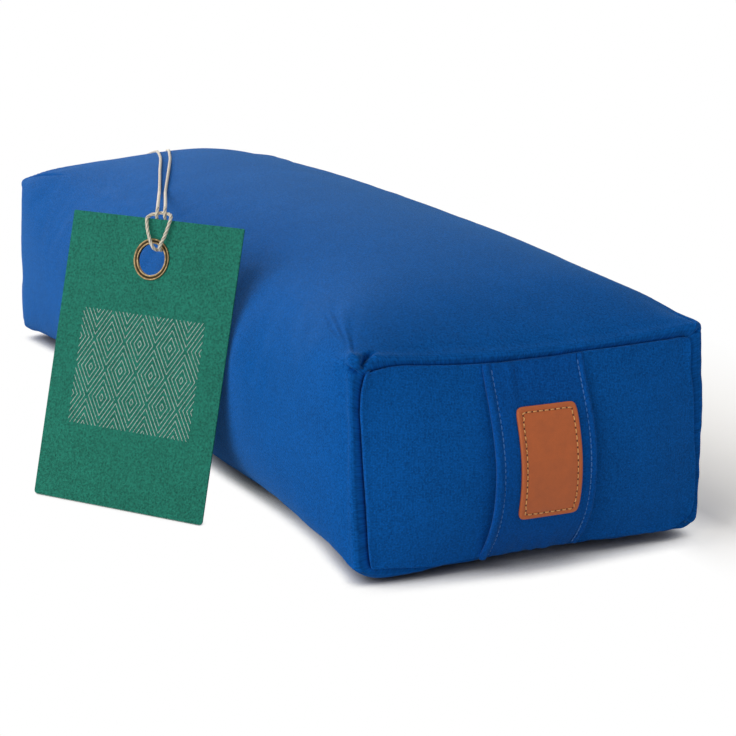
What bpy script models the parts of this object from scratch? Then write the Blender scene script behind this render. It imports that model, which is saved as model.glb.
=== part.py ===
"""Rectangular yoga bolster.

A sewn cotton cover with a carrying handle on each short end, a leather patch on the
front handle, a zip low on one long side, an inner bag with its husk filling, and a
swing card that leans on the side by its cord. Metres, +Z up. The length runs along X
with the patched end at +X, and the origin lies under the middle of the base.
"""

import math

import bmesh
import bpy
from mathutils import Matrix, Vector

# Overall form, measured over the cover
SEAM_LENGTH = 0.680
MIDDLE_WIDTH = 0.267
END_WIDTH = 0.231
MIDDLE_HEIGHT = 0.176
END_HEIGHT = 0.130
END_LIFT = 0.0054
TOP_SEAM_SAG = 0.008
END_CROWN = 0.0145
BASE_DIP = 0.0005
WIDEST_HEIGHT_SHARE = 0.50

# How square the cross-section is: 2 is an ellipse, larger is squarer
MIDDLE_TOP_POWER = 2.3
MIDDLE_BOTTOM_POWER = 4.0
END_POWER = 11.0
SQUARING_POWER = 8.0
END_CROWN_POWER = 3.0
END_CROWN_DROOP = 1.25

# How the width and height swell from the end seams to the middle
WIDTH_SWELL_POWER = 2.55
WIDTH_SWELL_ROOT = 0.38
HEIGHT_SWELL_POWER = 2.88
HEIGHT_SWELL_ROOT = 0.59

# Where the sewn shells are divided, as shares of half the length, width and height
LENGTH_CUT_SHARES = (0.2, 0.4, 0.58, 0.74, 0.86, 0.94, 0.985)
WIDTH_CUT_SHARES = (0.25, 0.5, 0.75, 0.9)
HEIGHT_CUT_SHARES = (0.85,)
BAG_WIDTH_CUT_SHARES = (0.5, 0.9)
BLOCK_TOLERANCE_SHARE = 0.000001

# Cloth and the clearances between layers
CLEARANCE = 0.0003
WELD_DISTANCE = 0.00001
COVER_THICKNESS = 0.0012
END_PANEL_SETBACK = 0.0010
LAYER_GAP = 0.0004
BAG_THICKNESS = 0.0008
FILLING_SLIT_LENGTH = 0.120
FILLING_SLIT_HEIGHT = 0.0025

# Handle bands and their seams
HANDLE_WIDTH = 0.0665
HANDLE_SHIFT = -0.0025
HANDLE_THICKNESS = 0.0020
HANDLE_SLACK = 0.0072
HANDLE_END_SHARE = 0.96
HANDLE_SLOPE_SHARE = 0.01
HANDLE_ROWS = 16
HANDLE_COLUMNS = 4
TOPSTITCH_INSET = 0.0055
THREAD_RADIUS = 0.00035

# Leather patch on the front handle
PATCH_WIDTH = 0.040
PATCH_HEIGHT = 0.064
PATCH_THICKNESS = 0.0018
PATCH_SHIFT = 0.0023
PATCH_DROP = 0.0018
PATCH_POWER = 14.0
PATCH_ROWS = 10
PATCH_COLUMNS = 6
PATCH_STITCH_INSET = 0.0038
PATCH_STITCH_POINTS = 40

# Zip, low on the right long side
ZIP_HALF_LENGTH = 0.200
ZIP_HEIGHT = 0.045
ZIP_DENT = 0.0015
ZIP_FLAT_HALF_HEIGHT = 0.0145
ZIP_FLAT_MARGIN = 0.055
ZIP_FADE_HEIGHT = 0.012
ZIP_FADE_LENGTH = 0.060
WINDOW_HALF_HEIGHT = 0.0050
WINDOW_MARGIN = 0.0050
WINDOW_CUT_DEPTH = 0.0072
TAPE_THICKNESS = 0.0008
TAPE_WIDTH = 0.0085
TAPE_OVERRUN = 0.0120
SLOT_HALF_WIDTH = 0.0008
TEETH_WIDTH = 0.0021
TEETH_THICKNESS = 0.0022
TOOTH_PITCH = 0.0040
TOOTH_NOTCH = 0.0009
STOP_LENGTH = 0.0030
STOP_RISE = 0.0006
SLIDER_LENGTH = 0.0100
SLIDER_HALF_WIDTH = 0.0044
SLIDER_PLATE = 0.0011
SLIDER_FLANGE = 0.0009
SLIDER_POST_HALF = 0.00045
BAIL_HALF_SPAN = 0.0032
BAIL_RISE = 0.0026
BAIL_RADIUS = 0.0006
BAIL_POINTS = 11
PULLER_THICKNESS = 0.0010
PULLER_HALF_WIDTH = 0.0026
PULLER_LENGTH = 0.0230
PULLER_BAR = 0.0010
PULLER_EYE_LENGTH = 0.0041
PULLER_EYE_HALF_WIDTH = 0.0014
PULLER_HOLE_RADIUS = 0.0013
PULLER_CORNER = 0.0010

# Swing card, leaning on the left long side
CARD_WIDTH = 0.132
CARD_HEIGHT = 0.188
CARD_THICKNESS = 0.0010
CARD_CORNER = 0.0040
CARD_FOOT_X = 0.144
CARD_FOOT_Y = -0.1946
CARD_YAW = math.radians(36.0)
CARD_LEAN = math.radians(16.2)
EYELET_DROP = 0.0262
EYELET_BORE_RADIUS = 0.0098
EYELET_WALL = 0.0006
EYELET_FLANGE_RADIUS = 0.0135
EYELET_FLANGE_THICKNESS = 0.0009
EYELET_SEGMENTS = 32
CORNER_STEPS = 6

# Card cord
CORD_DIAMETER = 0.0022
CORD_STEPS = 8
CORD_SPACING = 0.00075
CORD_RELAX_PASSES = 10
CORD_TURN = math.radians(28.0)
CORD_RUN = 0.028
CORD_SAG = 0.0006
KNOT_RADIUS = 0.0032

# Finishes: linear colour, roughness and metallic value
BLUE_COTTON = ((0.010, 0.080, 0.310), 0.85, 0.0)
BLUE_COTTON_BAND = ((0.008, 0.062, 0.250), 0.85, 0.0)
BLUE_THREAD = ((0.050, 0.170, 0.420), 0.70, 0.0)
TAN_LEATHER = ((0.350, 0.105, 0.045), 0.55, 0.0)
CREAM_THREAD = ((0.800, 0.480, 0.260), 0.70, 0.0)
ZIP_TAPE_CLOTH = ((0.008, 0.045, 0.180), 0.80, 0.0)
ZIP_TEETH_PLASTIC = ((0.010, 0.050, 0.200), 0.45, 0.0)
ZIP_METAL = ((0.300, 0.280, 0.250), 0.35, 1.0)
NATURAL_COTTON = ((0.680, 0.620, 0.500), 0.90, 0.0)
SPELT_HUSKS = ((0.520, 0.360, 0.170), 0.95, 0.0)
GREEN_CARD = ((0.022, 0.165, 0.110), 0.75, 0.0)
ANTIQUE_BRASS = ((0.230, 0.170, 0.090), 0.40, 1.0)
CREAM_CORD = ((0.720, 0.650, 0.520), 0.85, 0.0)

COLLECTION = bpy.data.collections.new("yoga_bolster")
CUTTERS = bpy.data.collections.new("yoga_bolster_cutters")


def clear_scene():
    """Remove every object that the file opened with."""
    for old in list(bpy.data.objects):
        bpy.data.objects.remove(old, do_unlink=True)
    bpy.context.scene.collection.children.link(COLLECTION)
    bpy.context.scene.collection.children.link(CUTTERS)


def make_material(name, colour, roughness, metallic):
    """A plain Principled material with a linear base colour."""
    material = bpy.data.materials.new(name)
    material.use_nodes = True
    shader = material.node_tree.nodes["Principled BSDF"]
    shader.inputs["Base Color"].default_value = (*colour, 1.0)
    shader.inputs["Roughness"].default_value = roughness
    shader.inputs["Metallic"].default_value = metallic
    return material


def add_object(name, data, finish):
    """Place data in the bolster's collection under its node name, with its own material."""
    thing = bpy.data.objects.new(name, data)
    data.materials.append(make_material(name + "_finish", *finish))
    COLLECTION.objects.link(thing)
    return thing


def mesh_from(bm, name):
    """Turn a bmesh into a mesh and free it."""
    mesh = bpy.data.meshes.new(name)
    bm.to_mesh(mesh)
    bm.free()
    return mesh


def shade_round(thing, degrees=40.0):
    """Shade smooth, with edges kept where faces turn sharply."""
    thing.data.shade_smooth()
    thing.data.set_sharp_from_angle(angle=math.radians(degrees))


def solidify(thing, thickness, offset):
    """Give an open sheet its thickness, inward with -1 and outward with 1."""
    skin = thing.modifiers.new("Thickness", "SOLIDIFY")
    skin.thickness = thickness
    skin.offset = offset
    return skin


def cut(thing, cutter):
    """Take the cutter's volume out of the piece."""
    step = thing.modifiers.new("Cut", "BOOLEAN")
    step.operation = "DIFFERENCE"
    step.object = cutter


def box_cutter(name, size, centre):
    """A wire box that only cuts."""
    bm = bmesh.new()
    bmesh.ops.create_cube(bm, size=1.0, matrix=Matrix.Diagonal((*size, 1.0)))
    cutter = bpy.data.objects.new(name, mesh_from(bm, name))
    cutter.location = centre
    cutter.hide_render = True
    cutter.display_type = "WIRE"
    CUTTERS.objects.link(cutter)
    return cutter


def smooth_step(value):
    """Ease from 0 to 1."""
    value = min(max(value, 0.0), 1.0)
    return value * value * (3.0 - 2.0 * value)


def swell(share, power, root):
    """1 in the middle of the length and 0 at the end seams."""
    return max(1.0 - abs(share) ** power, 0.0) ** root


def round_square(a, b, power):
    """Move a point of the unit square into a square with rounded corners."""
    reach = max(abs(a), abs(b))
    if reach == 0.0:
        return 0.0, 0.0
    shrink = (abs(a / reach) ** power + abs(b / reach) ** power) ** (-1.0 / power)
    return a * shrink, b * shrink


def end_swell(w):
    """0 at an end's top and bottom seams and 1 a little below its mid height."""
    drop = ((1.0 - w) / 2) ** END_CROWN_DROOP
    return 4.0 * drop * (1.0 - drop)


def raw_form(u, v, w, side_inset, end_inset):
    """The cushion's swollen form at a point of the unit block, before the zip's flat."""
    wide = swell(u, WIDTH_SWELL_POWER, WIDTH_SWELL_ROOT)
    tall = swell(u, HEIGHT_SWELL_POWER, HEIGHT_SWELL_ROOT)
    half_width = (END_WIDTH + (MIDDLE_WIDTH - END_WIDTH) * wide) / 2 - side_inset
    top = END_LIFT + END_HEIGHT + (MIDDLE_HEIGHT - END_LIFT - END_HEIGHT) * tall
    base = END_LIFT * (1.0 - tall) - BASE_DIP
    widest = base + (top - base) * WIDEST_HEIGHT_SHARE
    middle_power = MIDDLE_TOP_POWER if w >= 0.0 else MIDDLE_BOTTOM_POWER
    power = middle_power + (END_POWER - middle_power) * abs(u) ** SQUARING_POWER
    across, up = round_square(v, w, power)
    reach = (top - widest if up >= 0.0 else widest - base) - side_inset
    z = widest + reach * up
    z -= TOP_SEAM_SAG * abs(u) ** SQUARING_POWER * (1.0 - across ** 2) * max(up, 0.0)
    z = max(z, side_inset)
    x = u * (SEAM_LENGTH / 2 - end_inset)
    if abs(u) == 1.0:
        crown = (1.0 - abs(v) ** END_CROWN_POWER) * end_swell(w)
        x += math.copysign(END_CROWN * crown, u)
    return Vector((x, half_width * across, z))


def side_share(height):
    """The unit block's w at which the side at mid length has a given height."""
    low, high = -1.0, 1.0
    for _ in range(40):
        middle = (low + high) / 2
        if raw_form(0.0, 1.0, middle, 0.0, 0.0).z < height:
            low = middle
        else:
            high = middle
    return low


ZIP_PLANE = raw_form(0.0, 1.0, side_share(ZIP_HEIGHT), 0.0, 0.0).y - ZIP_DENT
ZIP_ROW_SHARES = (
    abs(side_share(ZIP_HEIGHT + ZIP_FLAT_HALF_HEIGHT)),
    abs(side_share(ZIP_HEIGHT - ZIP_FLAT_HALF_HEIGHT)),
)
TAPE_FACE = ZIP_PLANE - COVER_THICKNESS - CLEARANCE
TEETH_MIDDLE = TAPE_FACE - TAPE_THICKNESS / 2
TEETH_OUTER = TEETH_MIDDLE + TEETH_THICKNESS / 2
TEETH_INNER = TEETH_MIDDLE - TEETH_THICKNESS / 2
SLIDER_FACE = TEETH_OUTER + CLEARANCE + SLIDER_PLATE
SLIDER_BACK = TEETH_INNER - CLEARANCE - SLIDER_PLATE
BAG_ZIP_DEPTH = ZIP_PLANE - SLIDER_BACK + LAYER_GAP
TAPE_EDGE = SLOT_HALF_WIDTH + TEETH_WIDTH + CLEARANCE


def form_point(u, v, w, side_inset=0.0, end_inset=0.0, zip_inset=None):
    """A point of the cushion's form, flattened where the zip is sewn in."""
    point = raw_form(u, v, w, side_inset, end_inset)
    if point.y <= 0.0 or abs(u) == 1.0:
        return point
    above = (abs(point.z - ZIP_HEIGHT) - ZIP_FLAT_HALF_HEIGHT) / ZIP_FADE_HEIGHT
    along = (abs(point.x) - ZIP_HALF_LENGTH - ZIP_FLAT_MARGIN) / ZIP_FADE_LENGTH
    hold = smooth_step(1.0 - max(above, 0.0)) * smooth_step(1.0 - max(along, 0.0))
    depth = side_inset if zip_inset is None else zip_inset
    point.y += (ZIP_PLANE - depth - point.y) * hold
    return point


def unit_block(length_shares, width_shares):
    """A cube two units wide, cut at each share and at the zip's rows, on both sides of its middle."""
    bm = bmesh.new()
    bmesh.ops.create_cube(bm, size=2.0)
    height_shares = (*ZIP_ROW_SHARES, *HEIGHT_CUT_SHARES)
    for axis, shares in enumerate((length_shares, width_shares, height_shares)):
        normal = Vector((0.0, 0.0, 0.0))
        normal[axis] = 1.0
        for share in (0.0, *shares, *(-share for share in shares)):
            geometry = bm.verts[:] + bm.edges[:] + bm.faces[:]
            bmesh.ops.bisect_plane(
                bm,
                geom=geometry,
                dist=BLOCK_TOLERANCE_SHARE,
                plane_co=normal * share,
                plane_no=normal,
            )
    for vertex in bm.verts:
        for axis in range(3):
            if abs(abs(vertex.co[axis]) - 1.0) < BLOCK_TOLERANCE_SHARE:
                vertex.co[axis] = math.copysign(1.0, vertex.co[axis])
    bm.normal_update()
    return bm


def keep_faces(bm, wanted):
    """Delete the faces whose normal fails the test."""
    extra = [face for face in bm.faces if not wanted(face.normal)]
    bmesh.ops.delete(bm, geom=extra, context="FACES")


def shape_block(bm, side_inset=0.0, end_inset=0.0, zip_inset=None):
    """Move every vertex of a unit block onto the cushion's form."""
    for vertex in bm.verts:
        u, v, w = vertex.co
        vertex.co = form_point(u, v, w, side_inset, end_inset, zip_inset)


def build_wrap_panel(finish):
    """One panel round the top, sides and base, with a window for the zip."""
    bm = unit_block(LENGTH_CUT_SHARES, WIDTH_CUT_SHARES)
    keep_faces(bm, lambda normal: abs(normal.x) < 0.5)
    shape_block(bm)
    panel = add_object("wrap_panel", mesh_from(bm, "wrap_panel"), finish)
    shade_round(panel)
    solidify(panel, COVER_THICKNESS, -1.0)
    window_length = 2 * (ZIP_HALF_LENGTH + WINDOW_MARGIN)
    size = (window_length, WINDOW_CUT_DEPTH, 2 * WINDOW_HALF_HEIGHT)
    cut(panel, box_cutter("zip_window_cutter", size, (0.0, ZIP_PLANE, ZIP_HEIGHT)))


def end_point(side, v, w):
    """The outer face of an end panel, which sits just inside the wrap's mouth."""
    return form_point(side, v, w, COVER_THICKNESS + CLEARANCE, END_PANEL_SETBACK)


def build_end_panel(name, side, finish):
    """A crowned panel inside the wrap's mouth."""
    bm = unit_block((), WIDTH_CUT_SHARES)
    keep_faces(bm, lambda normal: normal.x * side > 0.5)
    for vertex in bm.verts:
        vertex.co = end_point(side, vertex.co.y, vertex.co.z)
    panel = add_object(name, mesh_from(bm, name), finish)
    shade_round(panel)
    solidify(panel, COVER_THICKNESS, -1.0)


def band_base(side, y, w):
    """The handle band's inner face: clear of the end panel, and slack where that swells."""
    half_width = END_WIDTH / 2 - COVER_THICKNESS - CLEARANCE
    point = end_point(side, y / half_width, w)
    point.x += math.copysign(CLEARANCE + HANDLE_SLACK * end_swell(w), side)
    return point


def band_point(side, y, w, rise):
    """A point at a given rise above the band's inner face, along its normal."""
    here = band_base(side, y, w)
    above = band_base(side, y, w + HANDLE_SLOPE_SHARE)
    below = band_base(side, y, w - HANDLE_SLOPE_SHARE)
    normal = Vector((0.0, 1.0, 0.0)).cross(above - below).normalized()
    if normal.x * side < 0.0:
        normal.negate()
    return here + normal * rise


def mapped_grid(name, columns, rows, place, finish, flip):
    """A flat unit grid with each vertex moved by a placing function."""
    bm = bmesh.new()
    bmesh.ops.create_grid(bm, x_segments=columns, y_segments=rows, size=1.0)
    for vertex in bm.verts:
        vertex.co = place(vertex.co.x, vertex.co.y)
    if flip:
        bmesh.ops.reverse_faces(bm, faces=bm.faces)
    sheet = add_object(name, mesh_from(bm, name), finish)
    shade_round(sheet)
    return sheet


def build_handle(name, side, finish):
    """A folded cloth band sewn in at the top and bottom seams of an end."""

    def place(a, b):
        return band_point(side, HANDLE_SHIFT + a * HANDLE_WIDTH / 2, b * HANDLE_END_SHARE, 0.0)

    band = mapped_grid(name, HANDLE_COLUMNS, HANDLE_ROWS, place, finish, side < 0)
    solidify(band, HANDLE_THICKNESS, 1.0)


def tube(name, points, radius, finish, cyclic=False, resolution=1):
    """A round thread or cord along a list of points."""
    curve = bpy.data.curves.new(name, "CURVE")
    curve.dimensions = "3D"
    curve.bevel_depth = radius
    curve.bevel_resolution = resolution
    curve.use_fill_caps = not cyclic
    spline = curve.splines.new("POLY")
    spline.points.add(len(points) - 1)
    for slot, point in zip(spline.points, points):
        slot.co = (*point, 1.0)
    spline.use_cyclic_u = cyclic
    spline.use_smooth = True
    return add_object(name, curve, finish)


def build_topstitch(name, side, hand, finish):
    """One row of thread along a band's hem."""
    y = HANDLE_SHIFT + hand * (HANDLE_WIDTH / 2 - TOPSTITCH_INSET)
    rise = HANDLE_THICKNESS + CLEARANCE + THREAD_RADIUS
    points = []
    for row in range(1, HANDLE_ROWS):
        w = HANDLE_END_SHARE * (2 * row / HANDLE_ROWS - 1)
        points.append(band_point(side, y, w, rise))
    tube(name, points, THREAD_RADIUS, finish)


def patch_point(a, b, rise):
    """A point of the patch, given as shares of its half width and half height."""
    across, up = round_square(a, b, PATCH_POWER)
    y = HANDLE_SHIFT + PATCH_SHIFT + across * PATCH_WIDTH / 2
    height = up * PATCH_HEIGHT / 2 - PATCH_DROP
    seam_height = END_HEIGHT / 2 - COVER_THICKNESS - CLEARANCE
    if height > 0.0:
        seam_height -= TOP_SEAM_SAG
    w = height / seam_height
    return band_point(1.0, y, w, HANDLE_THICKNESS + rise)


def build_patch(finish):
    """A bare leather patch with rounded corners, lying on the front band."""

    def place(a, b):
        return patch_point(a, b, CLEARANCE)

    patch = mapped_grid("leather_patch", PATCH_COLUMNS, PATCH_ROWS, place, finish, False)
    solidify(patch, PATCH_THICKNESS, 1.0)


def build_patch_stitching(finish):
    """The closed row of thread just inside the patch's rim."""
    rise = CLEARANCE + PATCH_THICKNESS + CLEARANCE + THREAD_RADIUS
    across_share = 1.0 - 2 * PATCH_STITCH_INSET / PATCH_WIDTH
    up_share = 1.0 - 2 * PATCH_STITCH_INSET / PATCH_HEIGHT
    points = []
    for number in range(PATCH_STITCH_POINTS):
        turn = 2 * math.pi * number / PATCH_STITCH_POINTS
        a, b = math.cos(turn), math.sin(turn)
        reach = max(abs(a), abs(b))
        points.append(patch_point(a / reach * across_share, b / reach * up_share, rise))
    tube("leather_patch_stitching", points, THREAD_RADIUS, finish, cyclic=True)


def flat_outline(name, loops, thickness, finish):
    """A flat piece in its own XY plane, from closed outlines; inner ones are holes."""
    curve = bpy.data.curves.new(name, "CURVE")
    curve.dimensions = "2D"
    curve.fill_mode = "BOTH"
    curve.extrude = thickness / 2
    for loop in loops:
        spline = curve.splines.new("POLY")
        spline.points.add(len(loop) - 1)
        for slot, (x, y) in zip(spline.points, loop):
            slot.co = (x, y, 0.0, 1.0)
        spline.use_cyclic_u = True
    return add_object(name, curve, finish)


def to_mesh_object(thing):
    """Swap a curve object for the welded mesh that it evaluates to, its flat faces joined."""
    graph = bpy.context.evaluated_depsgraph_get()
    mesh = bpy.data.meshes.new_from_object(thing.evaluated_get(graph))
    bm = bmesh.new()
    bm.from_mesh(mesh)
    bmesh.ops.remove_doubles(bm, verts=bm.verts, dist=WELD_DISTANCE)
    bmesh.ops.dissolve_limit(bm, angle_limit=math.radians(0.5), verts=bm.verts, edges=bm.edges)
    bm.to_mesh(mesh)
    bm.free()
    name = thing.name
    matrix = thing.matrix_world.copy()
    bpy.data.objects.remove(thing, do_unlink=True)
    solid = bpy.data.objects.new(name, mesh)
    solid.matrix_world = matrix
    COLLECTION.objects.link(solid)
    return solid


def rectangle(low_x, high_x, low_y, high_y):
    """The four corners of a rectangle, anticlockwise."""
    return [(low_x, low_y), (high_x, low_y), (high_x, high_y), (low_x, high_y)]


def rounded_rectangle(low_x, high_x, low_y, high_y, radius):
    """A rectangle whose corners are arcs, anticlockwise."""
    points = []
    centres = rectangle(low_x + radius, high_x - radius, low_y + radius, high_y - radius)
    for quarter, (x, y) in enumerate(centres):
        for step in range(CORNER_STEPS + 1):
            turn = math.pi * (1.0 + quarter / 2 + step / CORNER_STEPS / 2)
            points.append((x + radius * math.cos(turn), y + radius * math.sin(turn)))
    return points


def circle(x, y, radius, segments):
    """A round outline."""
    turns = (2 * math.pi * number / segments for number in range(segments))
    return [(x + radius * math.cos(turn), y + radius * math.sin(turn)) for turn in turns]


def zip_frame(thing, y):
    """Lay a flat outline in the zip's plane: its x along X, its y up, its face to +Y."""
    thing.matrix_world = Matrix((
        (-1.0, 0.0, 0.0, 0.0),
        (0.0, 0.0, 1.0, y),
        (0.0, 1.0, 0.0, ZIP_HEIGHT),
        (0.0, 0.0, 0.0, 1.0),
    ))


def build_tape(name, hand, finish):
    """A woven strip behind the window's edge."""
    reach = ZIP_HALF_LENGTH + TAPE_OVERRUN
    edges = sorted((hand * TAPE_EDGE, hand * (TAPE_EDGE + TAPE_WIDTH)))
    tape = flat_outline(name, [rectangle(-reach, reach, *edges)], TAPE_THICKNESS, finish)
    zip_frame(tape, TEETH_MIDDLE)


def build_teeth(name, hand, finish):
    """A row of teeth as one comb, notched on the side that faces the other row."""
    inner = SLOT_HALF_WIDTH
    outer = SLOT_HALF_WIDTH + TEETH_WIDTH
    points = [(-ZIP_HALF_LENGTH, outer), (-ZIP_HALF_LENGTH, inner)]
    count = round(2 * ZIP_HALF_LENGTH / TOOTH_PITCH)
    for number in range(1, count):
        x = -ZIP_HALF_LENGTH + number * TOOTH_PITCH
        notch = TOOTH_PITCH / 4
        points.append((x - notch, inner))
        points.append((x - notch / 2, inner + TOOTH_NOTCH))
        points.append((x + notch / 2, inner + TOOTH_NOTCH))
        points.append((x + notch, inner))
    points += [(ZIP_HALF_LENGTH, inner), (ZIP_HALF_LENGTH, outer)]
    comb = flat_outline(name, [[(x, hand * y) for x, y in points]], TEETH_THICKNESS, finish)
    zip_frame(comb, TEETH_MIDDLE)


def build_stop(name, end, low_z, high_z, finish):
    """A small metal clamp past the end of the teeth."""
    start = ZIP_HALF_LENGTH + CLEARANCE
    edges = sorted((-end * start, -end * (start + STOP_LENGTH)))
    stop = flat_outline(name, [rectangle(*edges, low_z, high_z)], TEETH_THICKNESS + STOP_RISE, finish)
    zip_frame(stop, TEETH_MIDDLE + STOP_RISE / 2)


def slider_half_section():
    """Half of the slider seen along the zip: two plates joined by a post in the slot."""
    top_inner = TEETH_OUTER + CLEARANCE
    bottom_inner = TEETH_INNER - CLEARANCE
    flange_foot = TAPE_FACE + CLEARANCE
    wide = SLIDER_HALF_WIDTH
    post = SLIDER_POST_HALF
    return [
        (0.0, SLIDER_BACK),
        (wide, SLIDER_BACK),
        (wide, bottom_inner),
        (post, bottom_inner),
        (post, top_inner),
        (wide - SLIDER_FLANGE, top_inner),
        (wide - SLIDER_FLANGE, flange_foot),
        (wide, flange_foot),
        (wide, SLIDER_FACE),
        (0.0, SLIDER_FACE),
    ]


def mirrored_bar(name, half_section, length, finish):
    """A straight bar along its own Z, from the half of its section at positive x."""
    bm = bmesh.new()
    corners = [bm.verts.new((x, y, -length / 2)) for x, y in half_section]
    end = bm.faces.new(corners)
    pushed = bmesh.ops.extrude_face_region(bm, geom=[end])["geom"]
    moved = [piece for piece in pushed if isinstance(piece, bmesh.types.BMVert)]
    bmesh.ops.translate(bm, verts=moved, vec=(0.0, 0.0, length))
    inner = [face for face in bm.faces if all(vertex.co.x == 0.0 for vertex in face.verts)]
    bmesh.ops.delete(bm, geom=inner, context="FACES_ONLY")
    bmesh.ops.recalc_face_normals(bm, faces=bm.faces)
    bar = add_object(name, mesh_from(bm, name), finish)
    mirror = bar.modifiers.new("Other half", "MIRROR")
    mirror.merge_threshold = WELD_DISTANCE
    return bar


SLIDER_REST_X = ZIP_HALF_LENGTH - SLIDER_LENGTH / 2
HINGE_Y = SLIDER_FACE + (BAIL_RISE - BAIL_RADIUS) / 2


def build_slider(finish):
    """Slider body with the bail that holds its puller."""
    body = mirrored_bar("zip_slider", slider_half_section(), SLIDER_LENGTH, finish)
    body.matrix_world = Matrix((
        (0.0, 0.0, 1.0, SLIDER_REST_X),
        (0.0, 1.0, 0.0, 0.0),
        (-1.0, 0.0, 0.0, ZIP_HEIGHT),
        (0.0, 0.0, 0.0, 1.0),
    ))
    root = SLIDER_PLATE / 2
    points = []
    for number in range(BAIL_POINTS):
        turn = math.pi * number / (BAIL_POINTS - 1)
        x = SLIDER_REST_X + BAIL_HALF_SPAN * math.cos(turn)
        y = SLIDER_FACE - root + (BAIL_RISE + root) * math.sin(turn) ** 0.5
        points.append((x, y, ZIP_HEIGHT))
    bail = to_mesh_object(tube("zip_slider_bail_cutter", points, BAIL_RADIUS, finish, resolution=2))
    COLLECTION.objects.unlink(bail)
    CUTTERS.objects.link(bail)
    bail.hide_render = True
    bail.display_type = "WIRE"
    join = body.modifiers.new("Bail", "BOOLEAN")
    join.operation = "UNION"
    join.object = bail


def build_puller(finish):
    """Flat puller whose bar turns under the bail."""
    start = -PULLER_BAR / 2
    outer = rounded_rectangle(start, PULLER_LENGTH, -PULLER_HALF_WIDTH, PULLER_HALF_WIDTH, PULLER_CORNER)
    eye_start = PULLER_BAR / 2
    eye = rectangle(
        eye_start, eye_start + PULLER_EYE_LENGTH, -PULLER_EYE_HALF_WIDTH, PULLER_EYE_HALF_WIDTH
    )
    hole_x = PULLER_LENGTH - PULLER_HALF_WIDTH
    hole = circle(hole_x, 0.0, PULLER_HOLE_RADIUS, CORNER_STEPS * 2)
    puller = flat_outline("zip_puller", [outer, eye, hole], PULLER_THICKNESS, finish)
    zip_frame(puller, HINGE_Y)
    puller.matrix_world = Matrix.Translation((SLIDER_REST_X, 0.0, 0.0)) @ puller.matrix_world


def build_inner_bag(finish):
    """The cotton bag that holds the filling, with its filling slit at the rear."""
    bm = unit_block(LENGTH_CUT_SHARES, BAG_WIDTH_CUT_SHARES)
    side_inset = COVER_THICKNESS + LAYER_GAP
    end_inset = END_PANEL_SETBACK + COVER_THICKNESS + 2 * LAYER_GAP
    shape_block(bm, side_inset, end_inset, BAG_ZIP_DEPTH)
    bag = add_object("inner_bag", mesh_from(bm, "inner_bag"), finish)
    shade_round(bag)
    solidify(bag, BAG_THICKNESS, -1.0)
    slit_x = end_inset - SEAM_LENGTH / 2 - END_CROWN
    size = (2 * END_CROWN, FILLING_SLIT_LENGTH, FILLING_SLIT_HEIGHT)
    cut(bag, box_cutter("filling_slit_cutter", size, (slit_x, 0.0, END_LIFT + END_HEIGHT / 2)))


def build_fill(finish):
    """The packed husk filling as one body."""
    bm = unit_block(LENGTH_CUT_SHARES, BAG_WIDTH_CUT_SHARES)
    layer = BAG_THICKNESS + LAYER_GAP
    side_inset = COVER_THICKNESS + LAYER_GAP + layer
    end_inset = END_PANEL_SETBACK + COVER_THICKNESS + 2 * LAYER_GAP + 2 * layer
    shape_block(bm, side_inset, end_inset, BAG_ZIP_DEPTH + layer)
    fill = add_object("spelt_husk_fill", mesh_from(bm, "spelt_husk_fill"), finish)
    shade_round(fill)


def card_matrix():
    """The card's frame: origin at the middle of its foot, x across, y up, z to the front."""
    across = Vector((math.cos(CARD_YAW), math.sin(CARD_YAW), 0.0))
    back = Vector((-math.sin(CARD_YAW), math.cos(CARD_YAW), 0.0))
    up = Vector((0.0, 0.0, math.cos(CARD_LEAN))) + back * math.sin(CARD_LEAN)
    front = across.cross(up)
    lift = CARD_THICKNESS / 2 * math.sin(CARD_LEAN)
    frame = Matrix((across, up, front)).transposed().to_4x4()
    frame.translation = (CARD_FOOT_X, CARD_FOOT_Y, lift)
    return frame


EYELET_Y = CARD_HEIGHT - EYELET_DROP


def build_card(finish):
    """Board card with rounded corners and a hole for its eyelet."""
    half = CARD_WIDTH / 2
    outline = rounded_rectangle(-half, half, 0.0, CARD_HEIGHT, CARD_CORNER)
    hole_radius = EYELET_BORE_RADIUS + EYELET_WALL + CLEARANCE
    hole = circle(0.0, EYELET_Y, hole_radius, EYELET_SEGMENTS)
    card = flat_outline("tag_card", [outline, hole], CARD_THICKNESS, finish)
    card.matrix_world = card_matrix()


def turned_ring(name, profile, finish):
    """A ring turned about the eyelet's axis from a closed profile of radius and height."""
    bm = bmesh.new()
    corners = [bm.verts.new((radius, 0.0, height)) for radius, height in profile]
    for number, corner in enumerate(corners):
        bm.edges.new((corner, corners[(number + 1) % len(corners)]))
    ring = add_object(name, mesh_from(bm, name), finish)
    screw = ring.modifiers.new("Turn", "SCREW")
    screw.steps = EYELET_SEGMENTS
    screw.render_steps = EYELET_SEGMENTS
    screw.use_merge_vertices = True
    screw.merge_threshold = WELD_DISTANCE
    screw.use_normal_calculate = True
    ring.matrix_world = card_matrix() @ Matrix.Translation((0.0, EYELET_Y, 0.0))
    return ring


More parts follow.
